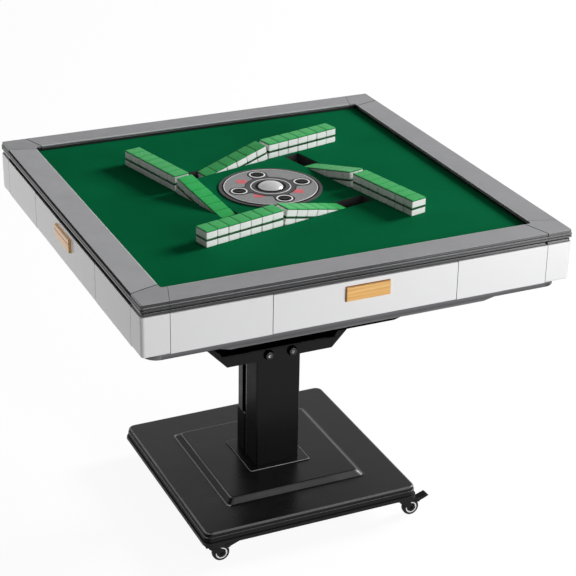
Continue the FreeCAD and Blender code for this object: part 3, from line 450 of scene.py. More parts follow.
timber = {"light": (246, 196, 122), "dark": (226, 166, 90), "line": (172, 112, 50),
          "grain": (6, 6, 420), "pore": (30, 30, 1900), "lacquer": 0.12}
woods = {
    "handleWood": timber,
    "handlePale": {**timber, "light": (250, 214, 150), "dark": (236, 192, 122)},
    "handleFair": {**timber, "light": (255, 200, 122), "dark": (250, 184, 104), "line": (226, 158, 86), "lacquer": 0.9},
    "handleSeam": {**timber, "light": (128, 78, 34), "dark": (104, 60, 26)},
    "boardWood": {"light": (190, 152, 104), "dark": (164, 124, 80), "line": (128, 92, 56),
                  "grain": (4, 60, 60), "pore": (20, 700, 700), "lacquer": 0.12},
}


def makeWood(name, look):
    sheet = Sheet(name)
    rings = sheet.noise(1, 4, sheet.stretched(look["grain"]), 0.4)
    pores = sheet.noise(1, 3, sheet.stretched(look["pore"]))
    ground = sheet.blend(sheet.spread(rings, 0, 1, 0.32, 0.68), tint(look["light"]), tint(look["dark"]))
    lines = sheet.spread(pores, 0, 0.55, 0.6, 0.8)
    sheet.give(colour=sheet.blend(lines, ground, tint(look["line"])), rough=sheet.spread(rings, 0.3, 0.44),
               normal=sheet.bump(pores, 0.3, 0.1), specular=0.25, coat=look["lacquer"], coatRough=0.16)
    return sheet.material


finishes["feltGreen"] = makeFelt()
for name, look in woods.items():
    finishes[name] = makeWood(name, look)
print("finishes made:", len(finishes))

otherFinish = {"satin_black": "powderBlack", "satin_grey": "tubeGrey", "wheel_black": "tyreBlack"}


def finishFor(slotName):  # most slots have a finish of the same name
    first, second = slotName.split("_")
    return finishes[otherFinish.get(slotName, first + second.capitalize())]


for node, obj in cadNodes.items():
    obj.data.materials.clear()
    obj.data.materials.append(finishFor(nodeSlots[node]))
cadNodes["castor_plates"].data.materials[0] = finishes["forkBlack"]


def copyNode(node):  # a merged copy of a CAD node
    obj = bpy.data.objects.new(node + "_eased", cadNodes[node].data.copy())
    obj.data.name = obj.name
    bpy.context.collection.objects.link(obj)
    openEdit(obj, "VERT", everything)
    bpy.ops.mesh.remove_doubles(threshold=0.00002)
    bpy.ops.mesh.dissolve_limited(angle_limit=radians(0.4))
    closeEdit()
    return obj


def dressNode(node, width):
    obj = copyNode(node)
    easeEdges(obj, width)
    return stand(obj, node)


# stage: camera, floor, lamps

shot = {"place": (-1.3941, -3.1046, 2.1275), "azimuth": -24.89, "elevation": 25.217, "roll": 1.017, "lens": 103.944}
clearSelection()
bpy.ops.object.camera_add(location=shot["place"])
camera = bpy.context.object
facing = Euler((radians(90 - shot["elevation"]), 0, radians(shot["azimuth"]))).to_matrix().to_4x4()
camera.matrix_world = Matrix.Translation(shot["place"]) @ facing @ turned(shot["roll"], "Z")
camera.data.sensor_width = 36
camera.data.lens = shot["lens"]
bpy.context.scene.camera = camera
bpy.context.scene.view_settings.view_transform = "Standard"


def seenDirectly(tree):  # 1 for the camera, reflections and clear pieces, 0 for the light that falls on the object
    path = tree.nodes.new("ShaderNodeLightPath")
    value = path.outputs["Is Camera Ray"]
    for name in ("Is Glossy Ray", "Is Transmission Ray"):
        value = addNode(tree, "ShaderNodeMath", {0: value, 1: path.outputs[name]}, operation="MAXIMUM").outputs[0]
    return value


def evenGrey(level):
    return (level, level, level, 1)


# the paper throws back less light than the camera sees on it
studio = {"ambient": 0.11, "floorWhite": 0.95, "floorBounce": 0.26, "floorLift": 0.93, "floorSize": 30}
world = bpy.data.worlds.new("studio")
bpy.context.scene.world = world
world.use_nodes = True
air = world.node_tree
soft = air.nodes["Background"]
feed(air, soft.inputs["Color"], evenGrey(1))
feed(air, soft.inputs["Strength"], studio["ambient"])
white = addNode(air, "ShaderNodeBackground", {"Color": evenGrey(1), "Strength": 1.0})
either = addNode(air, "ShaderNodeMixShader", {0: seenDirectly(air), 1: soft.outputs[0], 2: white.outputs[0]})
feed(air, air.nodes["World Output"].inputs["Surface"], either.outputs[0])

clearSelection()
bpy.ops.mesh.primitive_plane_add(size=studio["floorSize"])
floor = settle("studioFloor")
paper = bpy.data.materials.new("floorPaper")
paper.use_nodes = True
tree = paper.node_tree
tree.nodes.clear()
bounce, seen = evenGrey(studio["floorBounce"]), evenGrey(studio["floorWhite"])
grey = addNode(tree, "ShaderNodeMix", {0: seenDirectly(tree), 6: bounce, 7: seen}, data_type="RGBA")
matt = addNode(tree, "ShaderNodeBsdfDiffuse", {"Color": grey.outputs[2]})
lift = addNode(tree, "ShaderNodeEmission", {"Strength": 1.0})
share = addNode(tree, "ShaderNodeMath", {0: seenDirectly(tree), 1: studio["floorLift"]}, operation="MULTIPLY")
mixed = addNode(tree, "ShaderNodeMixShader", {0: share.outputs[0], 1: matt.outputs[0], 2: lift.outputs[0]})
addNode(tree, "ShaderNodeOutputMaterial", {"Surface": mixed.outputs[0]})
floor.data.materials.append(paper)

lamps = {
    "keyRight": {"place": (8.0, 0.95, 4.4), "aim": (0, 0, 0.77), "size": 2.7, "power": 1200},
    "frontSoft": {"place": (1.4, -3.5, 1.7), "aim": (0, 0, 0.7), "size": 1.9, "power": 91},
    "leftFloor": {"place": (-2.6, 1.0, 0.35), "aim": (-0.4, 0, 0.6), "size": 1.2, "power": 20},
    "frontLow": {"place": (1.4, -1.95, 0.08), "aim": (0.4, -0.45, 0.76), "size": 1.0, "deep": 0.5, "power": 6.4},
}
for name, lamp in lamps.items():
    clearSelection()
    bpy.ops.object.light_add(type="AREA", location=lamp["place"])
    obj = bpy.context.object
    obj.name = name
    obj.visible_camera = False
    obj.data.size = lamp["size"]
    if "deep" in lamp:
        obj.data.shape = "RECTANGLE"
        obj.data.size_y = lamp["deep"]
    obj.data.energy = lamp["power"]
    obj.rotation_euler = (Vector(lamp["aim"]) - Vector(lamp["place"])).to_track_quat("-Z", "Y").to_euler()
print("stage set")


# frame round the felt

rail = {"outer": 473.0, "opening": 412, "innerEnds": (-397.2, 395.8), "outerEnds": (-416.2, 414.8), "seat": 454,
        "top": 779, "capLow": 775.6, "grooveLow": 774.4, "felt": 767.0, "lip": 772.6, "edge": 0.9, "innerEdge": 1.1,
        "line": 1.9, "neckBack": 1.8, "sideEase": 0.4, "webRound": 1.6}


def modelRail():
    outer, inner, seat, top = -rail["outer"], -rail["opening"], -rail["seat"], rail["top"]
    cap = addBlock("railCap", rail["outerEnds"], (outer, inner), (rail["capLow"], top))
    for sign, outerEnd, innerEnd in zip((-1, 1), rail["outerEnds"], rail["innerEnds"]):
        moveCorners(cap, lambda v: v.co.y * 1000 > seat and v.co.x * sign > 0, (innerEnd - outerEnd, 0, 0))
    bevelEdges(cap, rail["innerEdge"], 3, lambda e: isTop(e, top) and middleOf(e).y > inner - near)
    bevelEdges(cap, rail["edge"], 5, lambda e: isTop(e, top) and middleOf(e).y < outer + near)
    splitAt(cap, (0, inner - rail["line"], 0), (0, 1, 0))
    paint(cap, "railGrey")
    # painted highlight: a lighter strip along the cap's inner edge
    paint(cap, "railLine", lambda p, n: p.y > inner - rail["line"] and n.z > 0.2)
    # painted highlight on the rounding of the outer edge
    paint(cap, "railEdge", lambda p, n: p.y < outer + 2 and 0.1 < n.z < 0.75)
    # painted shade: the cap's ends, where it meets the corner caps, are painted black
    paint(cap, "cavityBlack", lambda p, n: abs(n.z) < 0.1 and abs(n.x) > 0.8)
    paint(cap, "trimBlack", lambda p, n: n.y < -0.9)
    side = addBlock("railSide", rail["outerEnds"], (outer, seat), (rail["lip"], rail["capLow"]))
    neckSpan = (rail["grooveLow"], rail["capLow"])
    neck = addBlock("railNeck", rail["innerEnds"], (seat, inner - rail["neckBack"]), neckSpan)
    web = addBlock("railWeb", rail["innerEnds"], (seat, inner), (rail["felt"], rail["grooveLow"]))
    bevelEdges(side, rail["sideEase"], 2, lying)
    bevelEdges(web, rail["webRound"], 4, lambda e: isTop(e, rail["grooveLow"]) and middleOf(e).y > inner - near)
    # the neck under the cap is painted black: painted shade in the groove
    for piece, finish in ((side, "trimBlack"), (neck, "cavityBlack"), (web, "trimBlack")):
        paint(piece, finish)
    return joined("railPiece", cap, side, neck, web)


corner = {"reach": 14, "seam": 417, "round": 3, "inside": 6, "ease": 0.7, "webEase": 0.8, "webBack": 0.3,
          "rim": 4, "joint": 8}


def modelCorner():
    far, inner, seam, seat, top = rail["outer"], rail["opening"], corner["seam"], rail["seat"], rail["top"]
    start, joint = inner - corner["reach"], inner + corner["joint"]
    outline = ((start, -inner), (seam, -far), (far, -far), (far, -seam), (inner, -start), (inner, -inner))

    def outside(place):
        return place.x > far - corner["rim"] or place.y < corner["rim"] - far

    def insideCorner(e):
        return upright(e) and abs(middleOf(e).x - inner) < 0.5 and abs(middleOf(e).y + inner) < 0.5

    cap = addPlate("cornerCap", outline, (rail["capLow"], top))
    bevelEdges(cap, corner["round"], 6, outerCorner(far))
    bevelEdges(cap, corner["inside"], 5, insideCorner)
    bevelEdges(cap, rail["edge"], 4, lambda e: isTop(e, top) and outside(middleOf(e)))
    bevelEdges(cap, corner["ease"], 2, lambda e: isTop(e, top) and max(middleOf(e).x, -middleOf(e).y) < inner + 0.5)
    paint(cap, "railGrey")
    # painted highlight on the rounding of the outer edges
    paint(cap, "railEdge", lambda p, n: 0.1 < n.z < 0.75 and outside(p))
    paint(cap, "trimBlack", lambda p, n: abs(n.z) < 0.1 and outside(p))
    # painted shade: the faces at the joints with the rails are painted black
    paint(cap, "cavityBlack", lambda p, n: (
        n.x < -0.8 and p.y < -joint or n.y > 0.8 and p.x > joint))
    side = addBlock("cornerSide", (seam, far), (-far, -seam), (rail["lip"], rail["capLow"]))
    bevelEdges(side, corner["round"], 6, outerCorner(far))
    pieces = [cap, paint(side, "trimBlack")]
    back = corner["webBack"] - seat
    webs = {"webFront": ((start, seat), (-seat, -inner)), "webSide": ((inner, seat), (back, -start))}
    for name, (x, y) in webs.items():
        web = addBlock(name, x, y, (rail["felt"], rail["capLow"]))
        bevelEdges(web, corner["webEase"], 2, lying)
        pieces.append(paint(web, "trimBlack"))
    return joined("cornerPiece", *pieces)


railPieces = fourAround(modelRail())
leftRail = railPieces[sides.index("left")]
for slot in leftRail.material_slots:  # the left rail is painted a little paler than the others: painted light
    if slot.material.name == "railGrey":
        slot.material = finishes["railPale"]
paint(leftRail, "cavityBlack", lambda p, n: n.x < -0.9)  # painted shade: the left edge lies in shade, so it is painted black
stand(joined("frame_rail_caps", *railPieces), "frame_rails")
standFour("frame_corner_caps", modelCorner(), "frame_corners")
print("frame modelled")

trim = {"half": 475, "seat": 454, "ends": (-416.2, 416.2), "bandEnds": (-416.2, 410.5), "radius": 5, "start": 417}
# the neck and the gap layers are painted black: painted shade in the grooves
trimLayers = {  # low, high, setback, ease, finish
    "neck": (772.6, 775.6, 7, 0, "cavityBlack"), "lipTop": (769.4, 772.6, 0, 1.6, "trimBlack"),
    "slit": (767.2, 769.4, 1.8, 0, "trimBlack"), "lipLow": (763.0, 767.2, 0, 0.9, "trimBlack"),
    "gap": (759.4, 763.0, 6, 0, "cavityBlack"), "band": (753.0, 759.4, 3, 0.9, "bandBlack"),
}


def modelTrim():
    pieces = []
    start = trim["start"]
    for name, (low, high, setback, ease, finish) in trimLayers.items():
        face = trim["half"] - setback
        ends = trim["bandEnds" if name == "band" else "ends"]
        bar = addBlock(f"{name}Bar", ends, (-face, -trim["seat"]), (low, high))
        elbow = addBlock(f"{name}Elbow", (start, face), (-face, -start), (low, high))
        bevelEdges(elbow, trim["radius"], 6, outerCorner(face))
        if ease:
            bevelEdges(bar, ease, 4, lambda e: isTop(e, high) and middleOf(e).y < near - face)
            bevelEdges(elbow, ease, 4, lambda e: (
                isTop(e, high) and middleOf(e).x > start + near and middleOf(e).y < -start - near))
        for piece in (bar, elbow):
            paint(piece, finish)
            if name == "lipTop":  # painted highlight: the upper edge is painted lighter where it catches the light
                paint(piece, "lipLight", lambda p, n: n.z > 0.3)
            pieces.append(piece)
    return joined("trimPiece", *pieces)


trimPieces = fourAround(modelTrim())
slitLow, slitHigh = trimLayers["slit"][:2]
bandHigh = trimLayers["band"][1] + 0.2
# painted shade: on the left trim the band and the slit are painted black
paint(trimPieces[sides.index("left")], "cavityBlack", lambda p, n: (
    n.x < -0.9 and p.y > -trim["start"] and (p.z < bandHigh or slitLow < p.z < slitHigh)))
stand(joined("edge_trim_bars", *trimPieces), "edge_trim")
print("trim modelled")


# casing: panels, posts, drawers, handles

casing = {"half": 475, "inner": 461, "low": 667.0, "top": 753.0, "panel": (205.1, 416.0), "ease": 0.6, "under": 2.2,
          "post": 417, "postRadius": 8, "postUnder": 5, "postEase": 1.2}


def frontBoard(name, x, z, easeSteps):  # rounded more along its lower front edge than along the others
    board = addBlock(name, x, (-casing["half"], -casing["inner"]), z)
    face = near - casing["half"]
    bevelEdges(board, casing["under"], 4, lambda e: middleOf(e).y < face and middleOf(e).z < z[0] + near)
    bevelEdges(board, casing["ease"], easeSteps, lambda e: middleOf(e).y < face and middleOf(e).z > z[0] + 3)
    return paint(board, "casingWhite")


def modelPanelPair():
    right = frontBoard("panel", casing["panel"], (casing["low"], casing["top"]), 2)
    # painted shade: the panel ends in the seams are painted black
    paint(right, "cavityBlack", lambda p, n: abs(n.x) > 0.95)
    left = copyOf(right, "panelLeft", Matrix.Scale(-1, 4, (1, 0, 0)))
    tidyMesh(left)
    return joined("panelPair", right, left)


def modelPost():
    far, inner = casing["half"], casing["post"]
    post = addBlock("post", (inner, far), (-far, -inner), (casing["low"], casing["top"]))
    bevelEdges(post, casing["postRadius"], 10, outerCorner(far))

    def outside(e):
        return lying(e) and middleOf(e).x > inner + near and middleOf(e).y < -inner - near

    bevelEdges(post, casing["postUnder"], 5, lambda e: outside(e) and middleOf(e).z < casing["low"] + near)
    bevelEdges(post, casing["postEase"], 3, lambda e: outside(e) and middleOf(e).z > casing["top"] - near)
    paint(post, "casingWhite")
    # painted shade: the inner faces at the seams are painted black
    return paint(post, "cavityBlack", lambda p, n: n.x < -0.95 or n.y > 0.95)


standFour("casing_panels", modelPanelPair(), "side_panels")
standFour("casing_posts", modelPost(), "corner_posts")

drawer = {"half": 203.8, "low": 667.8, "top": 752.2, "boxHalf": 190, "boxLow": 668.0, "boxTop": 734.0, "back": 331,
          "wall": 3, "rimEase": 0.6, "openArea": 0.02}


def modelDrawer():
    front = frontBoard("drawerFront", both(drawer["half"]), (drawer["low"], drawer["top"]), 3)
    low, top, wall = drawer["boxLow"], drawer["boxTop"], drawer["wall"]
    tray = addBlock("drawerTray", both(drawer["boxHalf"]), (-casing["inner"], -drawer["back"]), (low, top))

    def onTop(f):
        return f.normal.z > 0.9 and f.calc_center_median().z * 1000 > top - 1

    edit(tray, "FACE", onTop, bpy.ops.mesh.inset, thickness=wall / 1000)
    extrudeFaces(tray, lambda f: onTop(f) and f.calc_area() > drawer["openArea"], (0, 0, low + wall - top))
    bevelEdges(tray, drawer["rimEase"], 2, lambda e: isTop(e, top))
    return joined("drawerPiece", front, paint(tray, "trayWhite"))


handle = {"half": 48, "low": 711.0, "top": 741.0, "face": 480.6, "round": 2.2, "endRound": 1.2, "band": (729.0, 732.5),
          "recess": 0.8, "rim": 1.5, "seat": (0.6, 0.4), "seatEase": 0.3}


def modelHandle():
    half, back, rim = handle["half"], -casing["half"], handle["rim"]
    low, high = handle["band"]
    front = near - handle["face"]
    bar = addBlock("handleBar", both(half), (-handle["face"], back), (handle["low"], handle["top"]))
    bevelEdges(bar, handle["round"], 5, lambda e: middleOf(e).y < front and lying(e))
    bevelEdges(bar, handle["endRound"], 3, lambda e: upright(e) and middleOf(e).y < front)
    for level in handle["band"]:
        splitAt(bar, (0, 0, level), (0, 0, 1))
    strip = lambda f: f.normal.y < -0.9 and low < f.calc_center_median().z * 1000 < high
    extrudeFaces(bar, strip, (0, handle["recess"], 0))
    tidyMesh(bar)
    paint(bar, "handleWood")
    # painted highlight: the sunk band is painted a paler wood
    paint(bar, "handlePale", lambda p, n: low - 0.5 < p.z < high + 0.5 and abs(p.x) < half - 2)
    # the seat is a thin dark plate just larger than the handle: painted shade round its edges
    proud, sunk = handle["seat"]
    seatSpan = (handle["low"] - rim, handle["top"] + rim)
    seat = addBlock("handleSeat", both(half + rim), (back - proud, back + sunk), seatSpan)
    bevelEdges(seat, handle["seatEase"], 2)
    return joined("handlePiece", bar, paint(seat, "handleSeam"))


drawerPiece, handlePiece = modelDrawer(), modelHandle()
for index, side in enumerate(sides):
    stand(copyOf(drawerPiece, f"drawer_{side}", quarter(index)), f"drawer_box_{side}")
    bar = copyOf(handlePiece, f"handle_{side}", quarter(index))
    # painted light: the side handles take a brighter, glossier wood
    if side in ("left", "right"):
        for slot in bar.material_slots:
            slot.material = finishes["handleFair"]
    stand(bar, f"drawer_handle_{side}")
discard(drawerPiece, handlePiece)
print("casing modelled")


# felt and tiles

felt = {"half": 454, "low": 765.5, "top": 767.0, "slotX": (-105.6, 139.4), "slotY": (-184.8, -143.2), "slotRound": 0.5,
        "turn": 13.5, "hole": 101.5, "cutReach": 5}


def modelFelt():
    piece = addBlock("feltCloth", both(felt["half"]), both(felt["half"]), (felt["low"], felt["top"]))
    through = (felt["low"] - felt["cutReach"], felt["top"] + felt["cutReach"])
    cutters = []
    for index in range(4):
        slot = addBlock(f"slotCutter{index}", felt["slotX"], felt["slotY"], through)
        bevelEdges(slot, felt["slotRound"], 2, upright)
        cutters.append(placed(slot, quarter(index, felt["turn"])))
    cutters.append(addRound("discCutter", felt["hole"], through, 96))
    return paint(cutAway(piece, *cutters), "feltGreen")


feltCloth = stand(modelFelt(), "felt")

tile = {"wide": 27.6, "long": 38.6, "thick": 18.1, "pitch": 28.2, "round": 1.9, "back": (4.4, 3.2), "row": -164,
        "flatStart": -303, "flatCount": 7, "rampStart": -105, "rampCount": 6, "hinge": (-100.1, 761), "fall": 13.5,
        "slip": 0.08, "stray": 0.35, "seed": 7}


def modelTile(layer):  # 0 below, 1 on top
    obj = addBlock(f"tile{layer}", both(tile["wide"] / 2), both(tile["long"] / 2), (0, tile["thick"]))
    bevelEdges(obj, tile["round"], 2)
    split = tile["thick"] - tile["back"][layer]
    splitAt(obj, (0, 0, split), (0, 0, 1))
    paint(obj, "tileWhite")
    # painted shade: the sides and rounding of the green back are painted a darker green; only the top stays bright, and
    # on the upper tile the rounding too
    paint(obj, "tileEdge", lambda p, n: p.z > split)
    return paint(obj, "tileGreen", lambda p, n: p.z > split and n.z > (0.9, 0.2)[layer])


tilePieces = [modelTile(0), modelTile(1)]
chance = Random(tile["seed"])


def layRow(name, start, count, after):
    stack = []
    for number in range(count):
        for layer in range(2):
            x = start + tile["wide"] / 2 + tile["pitch"] * number + chance.uniform(*both(tile["slip"]))
            y = tile["row"] + chance.uniform(-1, 1) * tile["stray"]
            one = copyOf(tilePieces[layer], f"{name}_{number}_{layer}")
            paint(one, "tileJoint", lambda p, n: (  # painted shade on the sides that face a neighbour
                n.x < -0.95 and number > 0 or n.x > 0.95 and number < count - 1))
            stack.append(placed(one, after @ shift(x, y, felt["top"] + tile["thick"] * layer)))
    return joined(name, *stack)


wallRows = []
hingeX, hingeZ = tile["hinge"]
lowered = shift(hingeX, 0, hingeZ) @ turned(tile["fall"], "Y") @ shift(-hingeX, 0, -hingeZ)
for index, side in enumerate(sides):
    around = quarter(index, felt["turn"])
    wallRows.append(layRow(f"wall_{side}", tile["flatStart"], tile["flatCount"], around))
    rampRow = layRow(f"ramp_row_{side}", tile["rampStart"], tile["rampCount"], around @ lowered)
    stand(rampRow, f"ramp_tiles_{side}", 25)
    cadNodes[f"tile_ramp_{side}"].data.materials[0] = finishes["rampGrey"]
stand(joined("wall_rows", *wallRows), "tile_walls", 25)
discard(*tilePieces)
print("felt and tiles modelled")


# centre disc

disc = {"rim": 769.8, "face": 771.0, "faceRadius": 104, "faceEase": 0.3, "buttons": 75, "clear": 10.3, "hub": 55,
        "arm": 20.5, "waist": 0.86, "steps": 240, "cutReach": 5}
dome = {"radius": 28.5, "foot": 0.6, "high": 11.4, "flat": 1.25, "steps": 14}
inlays = {"hubLine": (2.0, 0.25, "discBlack"), "hubPlate": (0, 0.45, "discDark")}  # grow, high, finish
bands = {  # inner, outer, high, finish
    "hubRing": (42.9, 45.1, 0.25, "discLine"), "domeSeat": (29.0, 34.0, 0.8, "discBlack"),
    "faceLine": (102.4, 103.8, 0.2, "discLine"), "buttonRing": (15.0, 18.2, 0.3, "discLine"),
    "buttonWell": (10.7, 15.0, 0.15, "discBlack"), "disc_black_ring": (104.3, 107.6, 0.5, "discBlack"),
}
bandLook = {"sunk": 0.1, "ease": 0.12, "steps": 96}
spots = [(0, -disc["buttons"]), (disc["buttons"], 0), (0, disc["buttons"]), (-disc["buttons"], 0)]


def hubOutline(grow):
    points = []
    arm, waist = disc["arm"] + grow, disc["waist"]
    for step in range(disc["steps"]):
        turn = 2 * pi * step / disc["steps"]
        off = abs((turn + pi / 4) % (pi / 2) - pi / 4)
        reach = disc["hub"] + grow
        across = disc["buttons"] * sin(off)
        if across < arm:
            reach = max(reach, disc["buttons"] * cos(off) + sqrt(arm ** 2 - across ** 2))
        else:
            reach = max(reach, arm * waist / sin(off))
        points.append((reach * cos(turn), reach * sin(turn)))
    return points


def cutHoles(obj, low, extra):  # for the dome and the four buttons
    through = (low - disc["cutReach"], disc["face"] + disc["cutReach"])
    cutAway(obj, addRound("domeCutter", dome["radius"] + 0.3 + extra, through, 96))
    return cutAway(obj, *[addRound(f"holeCutter{index}", disc["clear"] + extra, through, 48, spot)
                          for index, spot in enumerate(spots)])


def ringBand(name, level, spot=(0, 0)):
    inner, outer, high, finish = bands[name]
    low, high, ease = level - bandLook["sunk"], level + high, bandLook["ease"]
    profile = ((inner, low), (outer, low), (outer, high - ease), (outer - ease, high), (inner + ease, high),
               (inner, high - ease))
    return paint(placed(addSpun(name, profile, bandLook["steps"]), shift(*spot)), finish)


def modelFace():
    face = disc["face"]
    plate = addRound("facePlate", disc["faceRadius"], (disc["rim"], face), 128)
    bevelEdges(plate, disc["faceEase"], 2, lambda e: isTop(e, face))
    pieces = [paint(cutHoles(plate, disc["rim"], 0), "discSilver")]
    for name, (grow, high, finish) in inlays.items():
        inlay = addPlate(name, hubOutline(grow), (face, face + high))
        pieces.append(paint(cutHoles(inlay, face, 0.1), finish))
    level = face + inlays["hubPlate"][1]
    pieces += [ringBand("hubRing", level), ringBand("domeSeat", level), ringBand("faceLine", face)]
    for spot in spots:
        pieces += [ringBand("buttonRing", level, spot), ringBand("buttonWell", level, spot)]
    return joined("disc_face_plate", *pieces)


marks = {"size": (22, 20), "round": 5, "high": 0.2, "sunk": 0.05, "turn": -24,
         "spots": ((70.2, 133.8), (60.0, -139.2), (66.0, -47.1))}  # radius and angle


def modelMarks():
    pieces = []
    wide, deep = marks["size"]
    z = (disc["face"] - marks["sunk"], disc["face"] + marks["high"])
    for index, (radius, angle) in enumerate(marks["spots"]):
        mark = addBlock(f"mark{index}", both(wide / 2), both(deep / 2), z)
        bevelEdges(mark, marks["round"], 5, upright)
        spot = shift(radius * cos(radians(angle)), radius * sin(radians(angle)))
        pieces.append(paint(placed(mark, spot @ turned(marks["turn"], "Z")), "discRed"))
    return joined("disc_marks", *pieces)


def modelDome():
    profile = [(0, disc["rim"]), (dome["radius"], disc["rim"])]
    for step in range(dome["steps"] + 1):
        turn = pi / 2 * step / dome["steps"]
        height = disc["rim"] + dome["foot"] + dome["high"] * sin(turn) ** dome["flat"]
        profile.append((dome["radius"] * cos(turn), height))
    return paint(addSpun("dome_cover", profile, 64), "domeSilver")


stand(modelFace(), "disc_face")
hand(modelMarks(), "disc", "disc_silver")
hand(ringBand("disc_black_ring", disc["rim"]), "disc", "disc_dark")
dressNode("disc_housing", 0.5)
stand(modelDome(), "dice_dome", 50)
buttonShape = ((0, 765.5), (9.6, 765.5), (10, 765.9), (10, 771.9), (9.75, 772.3), (9.1, 772.5), (7.4, 772.4),
               (4.0, 772.15), (0, 772.0))
buttonPiece = paint(addSpun("button", buttonShape), "buttonBlack")
for spot, side in zip(spots, sides):
    stand(copyOf(buttonPiece, f"button_{side}", shift(*spot)), f"disc_button_{side}", 50)
discard(buttonPiece)
print("disc modelled")


# pedestal, cradle and castors

def rounded(half, radius, steps=8):
    points = []
    for turn in range(4):
        for step in range(steps + 1):
            angle = radians(90 * turn + 90 * step / steps)
            side = Vector(((1, 1), (-1, 1), (-1, -1), (1, -1))[turn]) * (half - radius)
            points.append((side.x + radius * cos(angle), side.y + radius * sin(angle)))
    return points


def addTiers(name, radius, low, tiers):  # a rounded square slab, its top raised and narrowed step by step
    half, level = tiers[0]
    obj = addPlate(name, rounded(half, radius), (low, level))
    for wide, high in tiers[1:]:
        openEdit(obj, "FACE", lambda f: f.normal.z > 0.9 and len(f.verts) > 20)
        bpy.ops.mesh.extrude_region_move(TRANSFORM_OT_translate={"value": (0, 0, (high - level) / 1000)})
        bpy.ops.transform.resize(value=(wide / half, wide / half, 1), center_override=(0, 0, high / 1000))
        closeEdit()
        half, level = wide, high
    return obj


# half width and height of each tier
base = {"coverLow": 63.5, "coverRound": 17, "slabLow": 55.2, "slabRound": 18, "bend": (260.2, 81, 5), "smooth": 28,
        "coverFoot": [(261.5, 75.2), (260.2, 76.1), (260.2, 80.9)],
        "coverStep": [(177, 86), (173.6, 86.25), (170.4, 87.3), (162.8, 94.2), (160.6, 96.2), (158.2, 97.5),
                      (154.6, 98)],
        "slab": [(264.5, 62.3), (264.1, 63.2), (263.3, 63.5)],
        "slope": (86.2, 97.4), "wallTop": 84.4, "stepFoot": (86.05, 87.3), "stepLow": 90,
        "edges": ((75.2, 76.1), (84.4, 85.9), (96.0, 97.9))}


def modelCover():
    bendHalf, bendLow, radius = base["bend"]
    bend = [(bendHalf - radius * (1 - cos(radians(turn))), bendLow + radius * sin(radians(turn)))
            for turn in range(0, 91, 18)]
    tiers = base["coverFoot"] + bend + base["coverStep"]
    cover = paint(addTiers("base_cover_shell", base["coverRound"], base["coverLow"], tiers), "powderBlack")
    slopeLow, slopeHigh = base["slope"]
    # painted light: the slopes facing front and right are painted a lighter black
    paint(cover, "slopeBlack", lambda p, n: (
        slopeLow < p.z < slopeHigh and n.z < 0.95 and n.x > -0.3 and n.y < 0.3))
    # painted shade: the left side is a duller black that shows no reflection
    paint(cover, "sideBlack", lambda p, n: p.z < base["wallTop"] and n.x < -0.3)
    for low, high in base["edges"]:  # painted highlight lines on the edges, most on the left
        edge = lambda p, n: low < p.z < high and n.z < 0.99
        paint(cover, "edgeGrey", lambda p, n: edge(p, n) and n.x < -0.3)
        if high < base["stepLow"]:
            paint(cover, "edgeFaint", lambda p, n: edge(p, n) and n.x > -0.3)
        # painted light: on the right the edges take the lit slope colour
        paint(cover, "slopeBlack", lambda p, n: edge(p, n) and n.x > 0.3)
    footLow, footHigh = base["stepFoot"]
    # painted highlight along the foot of the step, on the left
    return paint(cover, "edgeGrey", lambda p, n: footLow < p.z < footHigh and n.x < -0.1)


stand(modelCover(), "base_cover", base["smooth"])
slab = paint(addTiers("base_slab", base["slabRound"], base["slabLow"], base["slab"]), "castBlack")
stand(slab, "base_weight", base["smooth"])

tubes = {
    "column_flange": {"x": both(75.5), "y": both(75.5), "z": (98, 101), "ease": 1.0, "finish": "powderBlack",
                      "edge": "edgeGrey"},
    "column_front": {"x": both(54), "y": (-58, 8), "z": (101, 402), "ease": 1.2, "finish": "powderBlack",
                     "side": "sideBlack", "line": 2},
    "column_rear": {"x": both(53.4), "y": (18, 54), "z": (101, 371), "ease": 0.8, "finish": "tubeGrey", "shade": 27},
    "column_sleeve": {"x": both(54), "y": (14.7, 58), "z": (101, 206), "ease": 3.5, "finish": "powderBlack",
                      "side": "sideBlack", "edge": "edgeDim"},
}
tubeRound = 4


def modelTube(name, look):
    obj = addBlock(name + "_tube", look["x"], look["y"], look["z"])
    bevelEdges(obj, tubeRound, 6, upright)
    bevelEdges(obj, look["ease"], 3, lambda e: isTop(e, look["z"][1]))
    paint(obj, look["finish"])
    # painted highlight on the rounded top edges
    if "edge" in look:
        paint(obj, look["edge"], lambda p, n: 0.15 < n.z < 0.97)
    # painted shade: the sides are a duller black that shows no reflection
    if "side" in look:
        paint(obj, look["side"], lambda p, n: abs(n.x) > 0.8)
    if "line" in look:  # painted highlight line along the rear edges of the side, and painted shade on the top
        splitAt(obj, (0, look["line"], 0), (0, 1, 0))
        paint(obj, "edgeDim", lambda p, n: p.y > look["line"] and abs(n.x) > 0.3)
        paint(obj, "cavityBlack", lambda p, n: n.z > 0.5)
    if "shade" in look:  # painted shade on the side beside the front tube
        splitAt(obj, (0, look["shade"], 0), (0, 1, 0))
        paint(obj, "cavityBlack", lambda p, n: p.y < look["shade"])
    return obj


for node, look in tubes.items():
    stand(modelTube(node, look), node)
dressNode("column_head", 0.6)
dressNode("castor_plates", 0.4)

pan = {"flange": 460, "spread": 78, "floor": 640.6, "rise": 0.6, "widen": 1.009, "drop": 1.5, "edge": 2.4,
       "wellTop": 651.4, "wellEnd": (195, 240), "wellInner": 330, "floorSpan": (639, 644), "wallTop": 652,
       "wallInner": 444, "plate": 651, "hopperTop": 640}


